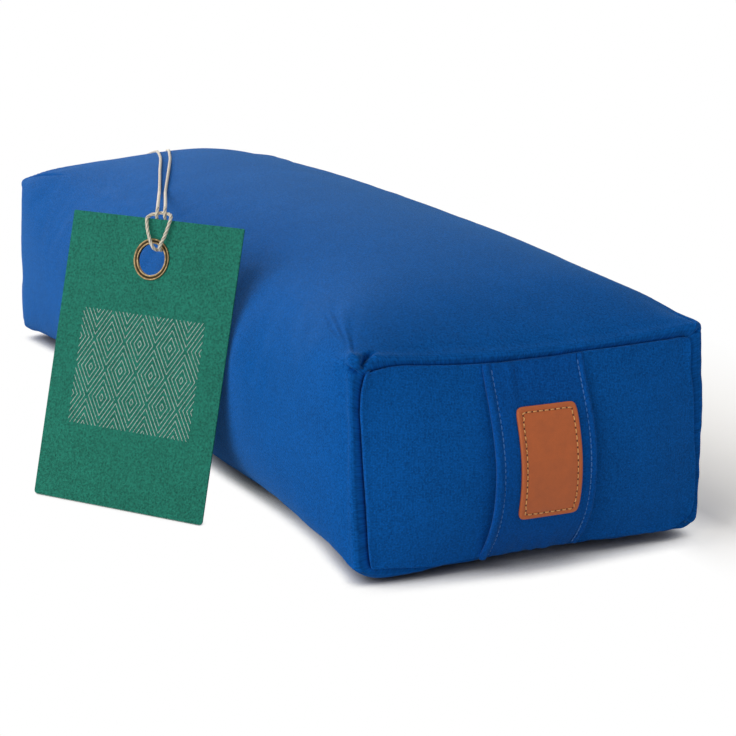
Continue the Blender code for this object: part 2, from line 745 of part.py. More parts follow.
def build_eyelet(finish):
    """Front flange and barrel in one, and the ring it is set on behind."""
    bore = EYELET_BORE_RADIUS
    barrel = EYELET_BORE_RADIUS + EYELET_WALL
    face = CARD_THICKNESS / 2 + CLEARANCE
    front = face + EYELET_FLANGE_THICKNESS
    rim = EYELET_FLANGE_RADIUS
    chamfer = EYELET_FLANGE_THICKNESS / 3
    back = -front
    turned_ring("tag_eyelet", [
        (bore, back),
        (bore, front - chamfer),
        (bore + chamfer, front),
        (rim - chamfer, front),
        (rim, front - chamfer),
        (rim, face),
        (barrel, face),
        (barrel, back),
    ], finish)
    turned_ring("tag_eyelet_washer", [
        (barrel + CLEARANCE + chamfer, back),
        (rim - chamfer, back),
        (rim, back + chamfer),
        (rim, -face),
        (barrel + CLEARANCE, -face),
        (barrel + CLEARANCE, back + chamfer),
    ], finish)


# From the knot, over the rear seam and along the top to the card
CORD_OUT_ROUTE = (
    (-0.3610, 0.0100, 0.0917),
    (-0.3596, 0.0100, 0.0965),
    (-0.3566, 0.0100, 0.1030),
    (-0.3523, 0.0098, 0.1110),
    (-0.3474, 0.0096, 0.1200),
    (-0.3424, 0.0092, 0.1292),
    (-0.3376, 0.0085, 0.1360),
    (-0.3290, 0.0070, 0.1418),
    (-0.3150, 0.0035, 0.1492),
    (-0.3000, -0.0010, 0.1547),
    (-0.2700, -0.0110, 0.1625),
    (-0.2400, -0.0200, 0.1676),
    (-0.2070, -0.0310, 0.1703),
    (-0.1800, -0.0400, 0.1710),
    (-0.1560, -0.0490, 0.1707),
    (-0.1300, -0.0590, 0.1699),
    (-0.1050, -0.0690, 0.1674),
    (-0.0750, -0.0810, 0.1640),
    (-0.0317, -0.0954, 0.1683),
    (0.0116, -0.1098, 0.1746),
    (0.0550, -0.1241, 0.1829),
    (0.0983, -0.1385, 0.1932),
    (0.1059, -0.1413, 0.1935),
    (0.1108, -0.1441, 0.1909),
)

# The hitch through the eyelet, as x, y, z in the card's frame; the way back mirrors it
HITCH_ROUTE = (
    (0.0032, 0.1950, -0.0034),
    (0.0032, 0.1880, -0.0036),
    (0.0032, 0.1800, -0.0044),
    (0.0032, 0.1738, -0.0050),
    (0.0034, 0.1698, -0.0038),
    (0.0036, 0.1680, -0.0001),
    (0.0040, 0.1697, 0.0037),
    (0.0049, 0.1738, 0.0050),
    (0.0063, 0.1775, 0.0043),
    (0.0079, 0.1822, 0.0037),
    (0.0089, 0.1860, 0.0032),
    (0.0086, 0.1893, 0.0031),
    (0.0066, 0.1918, 0.0031),
    (0.0035, 0.1929, 0.0031),
    (0.0000, 0.1932, 0.0031),
)

# Back along the top, down past the rear handle, behind its band and round to the knot
CORD_BACK_ROUTE = (
    (0.1056, -0.1478, 0.1909),
    (0.1006, -0.1451, 0.1935),
    (0.0931, -0.1423, 0.1932),
    (0.0498, -0.1277, 0.1828),
    (0.0066, -0.1132, 0.1744),
    (-0.0367, -0.0986, 0.1680),
    (-0.0800, -0.0840, 0.1636),
    (-0.1160, -0.0710, 0.1667),
    (-0.1400, -0.0625, 0.1690),
    (-0.1630, -0.0540, 0.1699),
    (-0.1900, -0.0445, 0.1700),
    (-0.2180, -0.0360, 0.1690),
    (-0.2500, -0.0270, 0.1659),
    (-0.2800, -0.0210, 0.1600),
    (-0.3000, -0.0205, 0.1546),
    (-0.3200, -0.0255, 0.1472),
    (-0.3310, -0.0310, 0.1412),
    (-0.3374, -0.0345, 0.1362),
    (-0.3421, -0.0372, 0.1296),
    (-0.3438, -0.0395, 0.1200),
    (-0.3462, -0.0408, 0.1090),
    (-0.3488, -0.0412, 0.0995),
    (-0.3512, -0.0395, 0.0905),
    (-0.3530, -0.0335, 0.0830),
    (-0.3545, -0.0230, 0.0785),
    (-0.3550, -0.0100, 0.0770),
    (-0.3550, 0.0100, 0.0770),
    (-0.3547, 0.0220, 0.0780),
    (-0.3547, 0.0300, 0.0798),
    (-0.3545, 0.0357, 0.0812),
    (-0.3560, 0.0396, 0.0822),
    (-0.3599, 0.0413, 0.0834),
    (-0.3638, 0.0396, 0.0846),
    (-0.3653, 0.0357, 0.0857),
    (-0.3649, 0.0305, 0.0867),
    (-0.3634, 0.0245, 0.0876),
    (-0.3621, 0.0190, 0.0880),
    (-0.3615, 0.0137, 0.0880),
)
KNOT_PLACE = (-0.3614, 0.0100, 0.0880)


def cord_route():
    """Every point that the cord's centre passes, from the knot and back to it."""
    frame = card_matrix()
    mirrored = [(-x, y, z) for x, y, z in reversed(HITCH_ROUTE[:-1])]
    hitch = [frame @ Vector(point) for point in (*HITCH_ROUTE, *mirrored)]
    out = [Vector(point) for point in CORD_OUT_ROUTE]
    back = [Vector(point) for point in CORD_BACK_ROUTE]
    return out + hitch + back


def smooth_curve(route, steps):
    """Points of a centripetal spline through the route."""
    padded = [2 * route[0] - route[1], *route, 2 * route[-1] - route[-2]]
    curve = [route[0]]
    for p0, p1, p2, p3 in zip(padded, padded[1:], padded[2:], padded[3:]):
        t1 = (p1 - p0).length ** 0.5
        t2 = t1 + (p2 - p1).length ** 0.5
        t3 = t2 + (p3 - p2).length ** 0.5
        for step in range(1, steps + 1):
            t = t1 + (t2 - t1) * step / steps
            a1 = p0.lerp(p1, t / t1)
            a2 = p1.lerp(p2, (t - t1) / (t2 - t1))
            a3 = p2.lerp(p3, (t - t2) / (t3 - t2))
            b1 = a1.lerp(a2, t / t2)
            b2 = a2.lerp(a3, (t - t1) / (t3 - t1))
            curve.append(b1.lerp(b2, (t - t1) / (t2 - t1)))
    return curve


def even_out(curve, spacing):
    """Points at even spacing along a curve, with its two ends."""
    points = [curve[0]]
    wait = spacing
    for start, end in zip(curve, curve[1:]):
        length = (end - start).length
        while wait <= length:
            points.append(start.lerp(end, wait / length))
            wait += spacing
        wait -= length
    points[-1] = curve[-1]
    return points


def relax(points, passes):
    """Average each point with its neighbours, which rounds the sharpest bends."""
    for _ in range(passes):
        middle = [(a + 2 * b + c) / 4 for a, b, c in zip(points, points[1:], points[2:])]
        points = [points[0], *middle, points[-1]]
    return points


def thin_out(curve, turn_limit, run_limit, sag_limit):
    """Keep a point wherever the curve has turned, run or left the straight line far enough."""
    kept = [curve[0]]
    turned = 0.0
    run = 0.0
    for before, here, after in zip(curve, curve[1:], curve[2:]):
        run += (here - before).length
        turned += (after - here).angle(here - before)
        if turned > turn_limit or run > run_limit or run * turned / 8 > sag_limit:
            kept.append(here)
            turned = 0.0
            run = 0.0
    kept.append(curve[-1])
    return kept


def cord_curve():
    """The smooth line of the cord's centre."""
    curve = smooth_curve(cord_route(), CORD_STEPS)
    return relax(even_out(curve, CORD_SPACING), CORD_RELAX_PASSES)


def build_cord(finish):
    """One cotton cord, doubled, from the knot through the eyelet and round the handle."""
    points = thin_out(cord_curve(), CORD_TURN, CORD_RUN, CORD_SAG)
    tube("tag_cord", points, CORD_DIAMETER / 2, finish, resolution=2)
    bm = bmesh.new()
    bmesh.ops.create_uvsphere(bm, u_segments=16, v_segments=10, radius=KNOT_RADIUS)
    knot = add_object("tag_cord_knot", mesh_from(bm, "tag_cord_knot"), finish)
    knot.location = KNOT_PLACE
    shade_round(knot, 60.0)


def main():
    """Build every piece of the bolster."""
    clear_scene()
    build_wrap_panel(BLUE_COTTON)
    for end_name, side in (("front", 1.0), ("rear", -1.0)):
        build_end_panel("end_panel_" + end_name, side, BLUE_COTTON)
        build_handle("handle_" + end_name, side, BLUE_COTTON_BAND)
        for hand_name, hand in (("left", -1.0), ("right", 1.0)):
            build_topstitch(f"handle_{end_name}_topstitch_{hand_name}", side, hand, BLUE_THREAD)
    build_patch(TAN_LEATHER)
    build_patch_stitching(CREAM_THREAD)
    for row_name, hand in (("upper", 1.0), ("lower", -1.0)):
        build_tape("zip_tape_" + row_name, hand, ZIP_TAPE_CLOTH)
        build_teeth("zip_teeth_" + row_name, hand, ZIP_TEETH_PLASTIC)
        edges = sorted((hand * SLOT_HALF_WIDTH, hand * (SLOT_HALF_WIDTH + TEETH_WIDTH)))
        build_stop("zip_top_stop_" + row_name, 1.0, *edges, ZIP_METAL)
    reach = SLOT_HALF_WIDTH + TEETH_WIDTH
    build_stop("zip_bottom_stop", -1.0, -reach, reach, ZIP_METAL)
    build_slider(ZIP_METAL)
    build_puller(ZIP_METAL)
    build_inner_bag(NATURAL_COTTON)
    build_fill(SPELT_HUSKS)
    build_card(GREEN_CARD)
    build_eyelet(ANTIQUE_BRASS)
    build_cord(CREAM_CORD)


main()
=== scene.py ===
"""Rectangular yoga bolster: its visual model, laid out as an add-on.

Sews the cover, handles, leather patch, zip, filling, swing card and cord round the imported
frame. Metres, +Z up, the length along X with the patched end at +X.
"""

import math

import bmesh
import bpy
import numpy as np
from bpy.props import FloatProperty, FloatVectorProperty, IntProperty, PointerProperty
from mathutils import Matrix, Vector, noise


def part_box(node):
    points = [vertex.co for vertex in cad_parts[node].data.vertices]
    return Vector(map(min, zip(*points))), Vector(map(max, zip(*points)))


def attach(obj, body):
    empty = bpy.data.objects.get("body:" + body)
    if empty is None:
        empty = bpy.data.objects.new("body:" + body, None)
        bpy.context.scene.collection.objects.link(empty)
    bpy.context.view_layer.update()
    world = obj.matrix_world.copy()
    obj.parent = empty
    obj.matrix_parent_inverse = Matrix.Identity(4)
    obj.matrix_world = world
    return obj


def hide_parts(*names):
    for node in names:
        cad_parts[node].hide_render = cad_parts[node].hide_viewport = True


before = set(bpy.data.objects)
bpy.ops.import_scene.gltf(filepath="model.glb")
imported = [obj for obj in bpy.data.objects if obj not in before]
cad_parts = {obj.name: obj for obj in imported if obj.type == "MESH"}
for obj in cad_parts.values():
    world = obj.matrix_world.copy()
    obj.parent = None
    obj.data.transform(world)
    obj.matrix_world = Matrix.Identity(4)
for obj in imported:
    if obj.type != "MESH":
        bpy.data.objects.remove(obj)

bl_info = {
    "name": "Yoga Bolster",
    "version": (1, 0, 0),
    "blender": (4, 5, 0),
    "location": "3D View > Sidebar > Bolster",
    "description": "Sews a rectangular yoga bolster round its packed frame",
    "category": "Add Mesh",
}


def metres(name, description, default):
    """A size that a user may change."""
    return FloatProperty(name=name, description=description, default=default, unit="LENGTH")


def angle(name, description, degrees):
    """A property for an angle."""
    return FloatProperty(name=name, description=description, subtype="ANGLE", default=math.radians(degrees))


def tint(name, description, default):
    """A colour that a user may change."""
    return FloatVectorProperty(name=name, description=description, default=default, subtype="COLOR")


class BolsterForm(bpy.types.PropertyGroup):
    """Sizes of the stuffed cushion."""

    seam_length: metres("Seam length", "Length between the end seams", 0.680)
    middle_width: metres("Middle width", "Width halfway along", 0.267)
    end_width: metres("End width", "Width at the end seams", 0.231)
    middle_height: metres("Middle height", "Height halfway along", 0.176)
    end_height: metres("End height", "Height at the end seams", 0.130)
    end_lift: metres("End lift", "Rise of the base at the end seams", 0.0054)
    base_dip: metres("Base dip", "Depth pressed flat on the floor", 0.0005)
    seam_sag: metres("Seam sag", "Sag of the top end seams", 0.008)
    end_crown: metres("End crown", "Bulge of the end panels", 0.0145)
    cloth_thickness: metres("Cloth", "Thickness of the cover's cloth", 0.0012)


class BolsterCloth(bpy.types.PropertyGroup):
    """Cloth, thread and how the cover puckers."""

    cover_colour: tint("Cover", "Cover cotton", (0.0036, 0.108, 0.420))
    band_colour: tint("Bands", "Handle cotton", (0.0034, 0.096, 0.400))
    thread_colour: tint("Thread", "Topstitching", (0.036, 0.210, 0.600))
    weave_pitch: metres("Thread pitch", "Distance between threads", 0.0009)
    gather: FloatProperty(name="Gather", description="Extra cloth eased into the seams", subtype="FACTOR", default=0.07)
    pressure: FloatProperty(name="Stuffing pressure", description="How hard the filling pushes", default=4.0)
    pucker_depth: metres("Pucker depth", "Depth of the small seam puckers", 0.0007)
    sim_frames: IntProperty(name="Frames", description="Frames of cloth settling", default=20)


class BolsterTrim(bpy.types.PropertyGroup):
    """Handles, patch and zip."""

    band_width: metres("Band width", "Width of a handle band", 0.0665)
    band_shift: metres("Band shift", "Middle of the bands across the end", -0.0025)
    band_thickness: metres("Band thickness", "Folded cloth of a band", 0.0020)
    band_slack: metres("Band slack", "Room for fingers behind a band", 0.0072)
    stitch_inset: metres("Stitch inset", "Topstitching from the band's edge", 0.0055)
    thread_radius: metres("Thread radius", "Radius of the sewing thread", 0.00035)
    patch_width: metres("Patch width", "Width of the leather patch", 0.040)
    patch_height: metres("Patch height", "Height of the leather patch", 0.064)
    patch_thickness: metres("Patch thickness", "Thickness of the leather", 0.0018)
    leather_colour: tint("Leather", "Patch leather", (0.600, 0.145, 0.040))
    patch_thread_colour: tint("Patch thread", "Waxed thread", (0.920, 0.450, 0.150))
    zip_height: metres("Zip height", "Height of the zip above the floor", 0.045)
    zip_half_length: metres("Zip half length", "Half the length of the teeth", 0.200)


class BolsterCard(bpy.types.PropertyGroup):
    """Swing card, eyelet and cord."""

    width: metres("Width", "Width of the card", 0.132)
    height: metres("Height", "Height of the card", 0.188)
    thickness: metres("Thickness", "Thickness of the board", 0.0010)
    corner: metres("Corner", "Radius of the lower corners", 0.0024)
    yaw: angle("Yaw", "Turn of the card about the vertical", 36.0)
    lean: angle("Lean", "Lean against the cover", 16.2)
    board_colour: tint("Board", "Card green", (0.018, 0.203, 0.140))
    print_colour: tint("Print", "Printed pattern", (0.700, 0.760, 0.700))
    brass_colour: tint("Brass", "Antique brass", (0.330, 0.235, 0.120))
    cord_colour: tint("Cord", "Cotton cord", (0.780, 0.700, 0.560))
    cord_diameter: metres("Cord diameter", "Diameter of the card's cord", 0.0022)
    cord_length: metres("Cord length", "Length from knot to knot", 1.317)


# How square the cushion's cross-section is, and how it swells
MIDDLE_TOP_POWER = 2.3
MIDDLE_BOTTOM_POWER = 4.0
END_POWER = 11.0
SQUARING_POWER = 8.0
CORNER_POWER = 26.0
CORNER_RISE_POWER = 70.0
CROWN_POWER = 3.0
CROWN_DROOP = 1.25
WIDTH_SWELL = (2.55, 0.38)
HEIGHT_SWELL = (2.88, 0.59)

# Zip strip of the cover
ZIP_DENT = 0.0015
ZIP_FLAT_HALF_HEIGHT = 0.0145
ZIP_FLAT_MARGIN = 0.055
ZIP_FADE_HEIGHT = 0.012
ZIP_FADE_LENGTH = 0.060
WINDOW_HALF_HEIGHT = 0.0050
WINDOW_MARGIN = 0.0050

MILLIMETRE = 0.001

# Gap between layers, how far the end panels sit in, and the share of the length over which the
# wrap's normals are its own
LAYER_GAP = 0.0003
PANEL_SETBACK = 0.0010
STEADY_SHARE = 0.985
MIDDLE_PLACE = (0.0, 0.0, 0.085)

# Card: where its foot stands, its eyelet and its print of nested lozenges
CARD_FOOT = (0.144, -0.1946)
EYELET_DROP = 0.0262
EYELET_HOLE = 0.0110
# Radii of the eyelet's two bright rims; away from them its brass is painted near black as shade
EYELET_RIMS = (0.0130, 0.0107)
LOZENGE = 0.0236
PRINT_FOOT = 0.069
PRINT_MIDDLE = 0.088

# Cloth flecks, and the cord's plies and the length of one turn of them
FLECK = 0.32
PLIES = 3
CORD_LAY = 0.0105

# Camera, from a fit to the bolster's seams, and the studio's even light
CAMERA_PLACE = (1.3913, -0.5932, 0.4305)
CAMERA_TARGET = (0.1424, -0.0164, 0.075)
CAMERA_ROLL = math.radians(0.376)
SENSOR_WIDTH = 36.0
FOCAL_PIXELS = 2125.63
PICTURE_PIXELS = 736
SKY_LEVEL = 0.34

# Eased shape: millimetres out of the plain form, at places along (rows) and round it
EASE_ALONG = (-1.0, -0.9, -0.6, -0.2, 0.2, 0.6, 0.8, 0.92, 1.0)
EASE_AROUND = (0.0, 0.2, 0.5, 1.0, 2.0, 3.0, 4.0, 4.5, 5.0, 5.5, 6.0, 7.0)
EASE = (
    (0.7, 0.6, 0.3, 0.0, -0.6, -1.3, -2.2, -1.8, -0.8, -1.7, -3.1, -0.6),
    (0.2, 0.2, 0.1, 0.0, -0.7, -1.8, -4.5, -3.4, 0.7, -2.1, -2.6, -0.1),
    (-0.2, -0.2, -0.1, 0.0, -0.7, -1.5, -3.1, -3.2, 2.6, 0.2, -0.7, -0.3),
    (-0.3, -0.3, -0.1, 0.0, -0.7, -1.2, -2.2, -2.5, -0.1, -0.1, -0.3, -0.3),
    (-0.5, -0.4, -0.2, 0.0, -0.8, -1.1, -1.7, -1.5, -0.4, -0.3, -0.4, -0.6),
    (-2.6, -2.4, -1.4, -0.3, -1.0, -1.3, -1.7, 1.4, 0.1, -0.3, -0.6, -1.4),
    (-2.9, -2.7, -1.7, -0.5, -1.1, -1.9, -4.2, 0.0, -0.2, -0.4, -0.8, -1.6),
    (-4.6, 0.6, 0.0, -1.6, -1.0, -1.7, -5.0, -1.6, -0.7, -0.6, -1.0, -1.9),
    (-4.0, 2.2, -0.4, -3.0, -1.2, -0.1, -2.4, -1.4, -0.8, -0.7, -1.0, -1.9),
)

# Where the seams of both ends run: (place from -1 to 1, millimetres off the form's edge). Left
# and right give moves across at places up the side, top and base moves up at places across
MOUTHS = {
    1.0: {
        "left": ((-1.0, 9.6), (-0.75, 7.6), (-0.5, 6.6), (-0.2, 5.2), (0.06, 3.8), (0.35, 2.6), (0.55, 1.6),
                 (0.75, 2.2), (0.87, 3.8), (1.0, 5.5)),
        "right": ((-1.0, -4.8), (-0.88, -1.0), (-0.72, 1.2), (-0.5, 0.8), (-0.3, 0.2), (-0.1, -1.6), (0.15, -2.3),
                  (0.4, -3.8), (0.52, -5.6), (0.65, -6.8), (0.8, -6.6), (0.93, -7.2), (1.0, -7.6)),
        "top": ((-1.0, -5.2), (-0.92, -3.4), (-0.85, -1.2), (-0.76, 0.1), (-0.3, -0.2), (0.0, 0.1), (0.3, 0.8),
                (0.62, -0.9), (0.8, -2.5), (0.92, -3.4), (1.0, -4.6)),
        "base": ((-1.0, 3.0), (-0.88, 3.8), (-0.75, 2.0), (-0.58, 0.5), (-0.26, 2.4), (0.06, 3.4), (0.32, 3.2),
                 (0.67, 1.0), (0.82, 0.9), (0.92, 2.4), (1.0, 6.5)),
    },
    -1.0: {
        "left": ((-1.0, 6.0), (-0.5, 3.6), (0.0, 2.6), (0.6, 2.6), (1.0, 5.0)),
        "right": ((-1.0, -5.0), (-0.5, -3.0), (0.0, -2.4), (0.6, -3.4), (1.0, -5.0)),
        "top": ((-1.0, -6.0), (-0.8, -3.0), (-0.4, -0.6), (0.0, 0.0), (0.4, -0.6), (0.8, -2.4), (1.0, -4.6)),
        "base": ((-1.0, 4.0), (-0.8, 2.0), (-0.4, 1.2), (0.0, 2.0), (0.4, 1.2), (0.8, 2.0), (1.0, 4.5)),
    },
}

# Card cord: from the knot over the top to the card
CORD_OUT_ROUTE = (
    (-0.3610, 0.0100, 0.0917), (-0.3596, 0.0100, 0.0965), (-0.3566, 0.0100, 0.1030),
    (-0.3523, 0.0098, 0.1110), (-0.3474, 0.0096, 0.1200), (-0.3424, 0.0092, 0.1292),
    (-0.3376, 0.0085, 0.1360), (-0.3290, 0.0070, 0.1418), (-0.3150, 0.0035, 0.1492),
    (-0.3000, -0.0010, 0.1547), (-0.2700, -0.0110, 0.1625), (-0.2400, -0.0200, 0.1676),
    (-0.2070, -0.0310, 0.1703), (-0.1800, -0.0400, 0.1710), (-0.1560, -0.0490, 0.1707),
    (-0.1300, -0.0590, 0.1699), (-0.1050, -0.0690, 0.1674), (-0.0750, -0.0810, 0.1640),
    (-0.0270, -0.0979, 0.1701), (0.0210, -0.1147, 0.1760), (0.0690, -0.1315, 0.1820),
    (0.1070, -0.1449, 0.1868),
)

# Through the eyelet and round behind both strands, in the card's own frame
HITCH_ROUTE = (
    (0.0047, 0.1950, 0.0006), (0.0048, 0.1920, 0.0006), (0.0043, 0.1895, -0.0012), (0.0040, 0.1868, -0.0034),
    (0.0038, 0.1800, -0.0044), (0.0040, 0.1738, -0.0050), (0.0048, 0.1698, -0.0038), (0.0057, 0.1682, -0.0001),
    (0.0067, 0.1692, 0.0037), (0.0082, 0.1722, 0.0050), (0.0091, 0.1748, 0.0044), (0.0099, 0.1788, 0.0037),
    (0.0108, 0.1838, 0.0032), (0.0114, 0.1876, 0.0029), (0.0113, 0.1900, 0.0020), (0.0098, 0.1914, 0.0004),
    (0.0066, 0.1921, -0.0012), (0.0030, 0.1924, -0.0020), (-0.0002, 0.1923, -0.0021), (-0.0034, 0.1916, -0.0018),
    (-0.0058, 0.1905, -0.0008), (-0.0070, 0.1893, 0.0010), (-0.0071, 0.1876, 0.0026), (-0.0060, 0.1850, 0.0031),
    (-0.0050, 0.1816, 0.0033), (-0.0030, 0.1772, 0.0037), (-0.0004, 0.1735, 0.0046), (0.0010, 0.1712, 0.0050),
    (0.0022, 0.1690, 0.0037), (0.0026, 0.1680, -0.0001), (0.0018, 0.1696, -0.0038), (0.0006, 0.1738, -0.0050),
    (-0.0008, 0.1800, -0.0044), (-0.0020, 0.1866, -0.0034), (-0.0024, 0.1893, -0.0012), (-0.0009, 0.1915, 0.0006),
    (-0.0011, 0.1946, 0.0006),
)

# Back over the top, down past the rear handle and round its band to the knot
CORD_BACK_ROUTE = (
    (0.1030, -0.1486, 0.1862), (0.0640, -0.1349, 0.1814), (0.0160, -0.1179, 0.1754), (-0.0320, -0.1010, 0.1695),
    (-0.0800, -0.0840, 0.1636), (-0.1160, -0.0710, 0.1667), (-0.1400, -0.0625, 0.1690),
    (-0.1630, -0.0540, 0.1699), (-0.1900, -0.0445, 0.1700), (-0.2180, -0.0360, 0.1690),
    (-0.2500, -0.0270, 0.1659), (-0.2800, -0.0210, 0.1600), (-0.3000, -0.0205, 0.1546),
    (-0.3200, -0.0255, 0.1472), (-0.3310, -0.0310, 0.1412), (-0.3374, -0.0345, 0.1362),
    (-0.3421, -0.0372, 0.1296), (-0.3438, -0.0395, 0.1200), (-0.3462, -0.0408, 0.1090),
    (-0.3488, -0.0412, 0.0995), (-0.3512, -0.0395, 0.0905), (-0.3530, -0.0335, 0.0830),
    (-0.3545, -0.0230, 0.0785), (-0.3550, -0.0100, 0.0770), (-0.3550, 0.0100, 0.0770),
    (-0.3547, 0.0220, 0.0780), (-0.3547, 0.0300, 0.0798), (-0.3545, 0.0357, 0.0812),
    (-0.3560, 0.0396, 0.0822), (-0.3599, 0.0413, 0.0834), (-0.3638, 0.0396, 0.0846),
    (-0.3653, 0.0357, 0.0857), (-0.3649, 0.0305, 0.0867), (-0.3634, 0.0245, 0.0876),
    (-0.3621, 0.0190, 0.0880), (-0.3615, 0.0137, 0.0880),
)
KNOT_PLACE = (-0.3614, 0.0100, 0.0880)


def settings(group):
    """One group of the bolster's settings: form, cloth, trim or card."""
    return getattr(bpy.context.scene, "bolster_" + group)


# ---- meshes ----


def link_mesh(name, mesh, material=None):
    """Put a mesh in the scene as a new piece."""
    piece = bpy.data.objects.new(name, mesh)
    bpy.context.scene.collection.objects.link(piece)
    if material is not None:
        mesh.materials.append(material)
    return piece


def mesh_of(name, points, faces, uv=None, smooth=True):
    """A mesh from arrays of points and faces, with cloth coordinates in metres if given."""
    mesh = bpy.data.meshes.new(name)
    mesh.from_pydata(np.asarray(points, float).reshape(-1, 3).tolist(), [], [list(map(int, f)) for f in faces])
    if uv is not None:
        layer = mesh.uv_layers.new(name="weave")
        layer.uv.foreach_set("vector", np.asarray(uv, np.float32).ravel())
    mesh.validate()
    if smooth:
        mesh.shade_smooth()
    return mesh


def turn_faces_out(mesh, weld=0.0):
    """Make the faces of a closed mesh point outward, after welding points that lie together."""
    bm = bmesh.new()
    bm.from_mesh(mesh)
    if weld:
        bmesh.ops.remove_doubles(bm, verts=bm.verts, dist=weld)
    bmesh.ops.recalc_face_normals(bm, faces=bm.faces)
    bm.to_mesh(mesh)
    bm.free()


def unit(vectors):
    """Vectors made one long."""
    return vectors / np.maximum(np.linalg.norm(vectors, axis=-1, keepdims=True), 1e-12)


def pointing_out(normal, points):
    """Normals turned to point away from the middle of their points."""
    middle = points.reshape(-1, 3).mean(0)
    return normal if np.sum(normal * (points - middle)) >= 0.0 else -normal


def full_turn(count):
    """Angles spaced evenly round a circle."""
    return 2 * np.pi * np.arange(count) / count


def run_along(line):
    """Distance gone at each point of a line."""
    return np.concatenate([[0.0], np.cumsum(np.linalg.norm(np.diff(line, axis=0), axis=1))])


def at_distances(at, gone, values):
    """Points or directions along a line, read at given distances."""
    return np.stack([np.interp(at, gone, values[:, k]) for k in range(3)], -1)


def rings_along(line, side, other, reach, sides):
    """A ring of points round each point of a line, reach away from it."""
    around = full_turn(sides)
    spokes = np.cos(around)[:, None] * side[:, None, :] + np.sin(around)[:, None] * other[:, None, :]
    return line[:, None, :] + reach[..., None] * spokes


def grid_faces(rows, columns, closed_rows=False, closed_columns=False):
    """Quads over a grid of points, as indices into its rows and columns."""
    row = np.arange(rows if closed_rows else rows - 1)
    column = np.arange(columns if closed_columns else columns - 1)
    r, c = np.meshgrid(row, column, indexing="ij")
    r, c = r.ravel(), c.ravel()
    after_r, after_c = (r + 1) % rows, (c + 1) % columns
    return np.stack([r * columns + c, after_r * columns + c, after_r * columns + after_c, r * columns + after_c], 1)


def grid_uv(along_rows, along_columns):
    """Corner coordinates for grid_faces, from a grid with one more row or column where it closes."""
    rows, columns = along_rows.shape
    r, c = np.meshgrid(np.arange(rows - 1), np.arange(columns - 1), indexing="ij")
    r, c = r.ravel(), c.ravel()
    corners = [(r, c), (r + 1, c), (r + 1, c + 1), (r, c + 1)]
    return np.stack([np.stack([along_columns[p], along_rows[p]], 1) for p in corners], 1)


def add_thickness(piece, thickness, offset=-1.0):
    """Give a sheet its cloth thickness."""
    skin = piece.modifiers.new("Cloth thickness", "SOLIDIFY")
    skin.thickness = thickness
    skin.offset = offset
    skin.use_even_offset = False


def twisted_tube(name, path, radius, turns, sides, groove, material, closed=False):
    """A cord of three plies along a path; turns is how far they have twisted at each point."""
    count = len(path)
    tangent = unit(np.roll(path, -1, 0) - np.roll(path, 1, 0) if closed else np.gradient(path, axis=0))
    side = np.zeros_like(path)
    side[0] = unit(np.cross(tangent[0], (0.0, 0.0, 1.0) if abs(tangent[0][2]) < 0.9 else (1.0, 0.0, 0.0)))
    for number in range(1, count):
        side[number] = unit(side[number - 1] - tangent[number] * (side[number - 1] @ tangent[number]))
    twist = full_turn(sides)[None, :] - turns[:, None]
    reach = radius * (1.0 - groove * (1.0 - np.abs(np.cos(PLIES / 2 * twist))))
    faces = grid_faces(count, sides, closed_rows=closed, closed_columns=True).tolist()
    if not closed:
        faces += [list(range(sides)), [(count - 1) * sides + k for k in reversed(range(sides))]]
    mesh = mesh_of(name, rings_along(path, side, np.cross(tangent, side), reach, sides), faces)
    strand = mesh.attributes.new("strand", "FLOAT_VECTOR", "POINT")
    values = np.zeros((count, sides, 3), np.float32)
    values[..., 0] = run_along(path)[:, None]
    values[..., 1] = twist
    strand.data.foreach_set("vector", values.ravel())
    turn_faces_out(mesh)
    return link_mesh(name, mesh, material)


def join_meshes(name, parts, material):
    """One mesh from a list of (points, faces)."""
    points, faces, base = [], [], 0
    for part_points, part_faces in parts:
        part_points = np.asarray(part_points, float).reshape(-1, 3)
        points.append(part_points)
        faces += [[base + int(k) for k in face] for face in part_faces]
        base += len(part_points)
    mesh = mesh_of(name, np.concatenate(points), faces)
    return link_mesh(name, mesh, material)


def stitch_part(line, radius, sides=6):
    """Points and faces of one short thread along a line of points with rounded ends."""
    count = len(line)
    tangent = unit(np.gradient(line, axis=0))
    side = unit(np.cross(tangent, (0.0, 0.0, 1.0) if abs(tangent[0][2]) < 0.8 else (0.0, 1.0, 0.0)))
    taper = np.sqrt(np.clip(1.0 - np.linspace(-1.0, 1.0, count) ** 6, 0.12, 1.0))
    ring = rings_along(line, side, np.cross(tangent, side), radius * taper[:, None], sides)
    faces = grid_faces(count, sides, closed_columns=True)[:, ::-1].tolist()
    faces += [list(range(sides)), [(count - 1) * sides + k for k in reversed(range(sides))]]
    return ring.reshape(-1, 3), faces


def stitch_row(name, line, rise, pitches, span, lift, radius, material):
    """Separate stitches along a line: they start at pitches, cover a span and bow out by lift."""
    gone = run_along(line)
    parts = []
    for start in pitches:
        at = np.linspace(start + span[0], start + span[1], len(lift))
        bow = at_distances(at, gone, rise) * np.array(lift)[:, None]
        parts.append(stitch_part(at_distances(at, gone, line) + bow, radius))
    return join_meshes(name, parts, material)


# ---- the cushion's form ----


def swell(share, power, root):
    """1 in the middle of the length and 0 at the end seams."""
    return np.maximum(1.0 - np.abs(share) ** power, 0.0) ** root


def round_square(a, b, power):
    """Move points of the unit square into a square with rounded corners."""
    reach = np.maximum(np.abs(a), np.abs(b))
    safe = np.where(reach > 0.0, reach, 1.0)
    total = np.abs(a / safe) ** power + np.abs(b / safe) ** power
    shrink = np.where(reach > 0.0, np.where(total > 0.0, total, 1.0) ** (-1.0 / power), 0.0)
    return a * shrink, b * shrink


def smooth_step(value):
    """Ease from 0 to 1."""
    value = np.clip(value, 0.0, 1.0)
    return value * value * (3.0 - 2.0 * value)


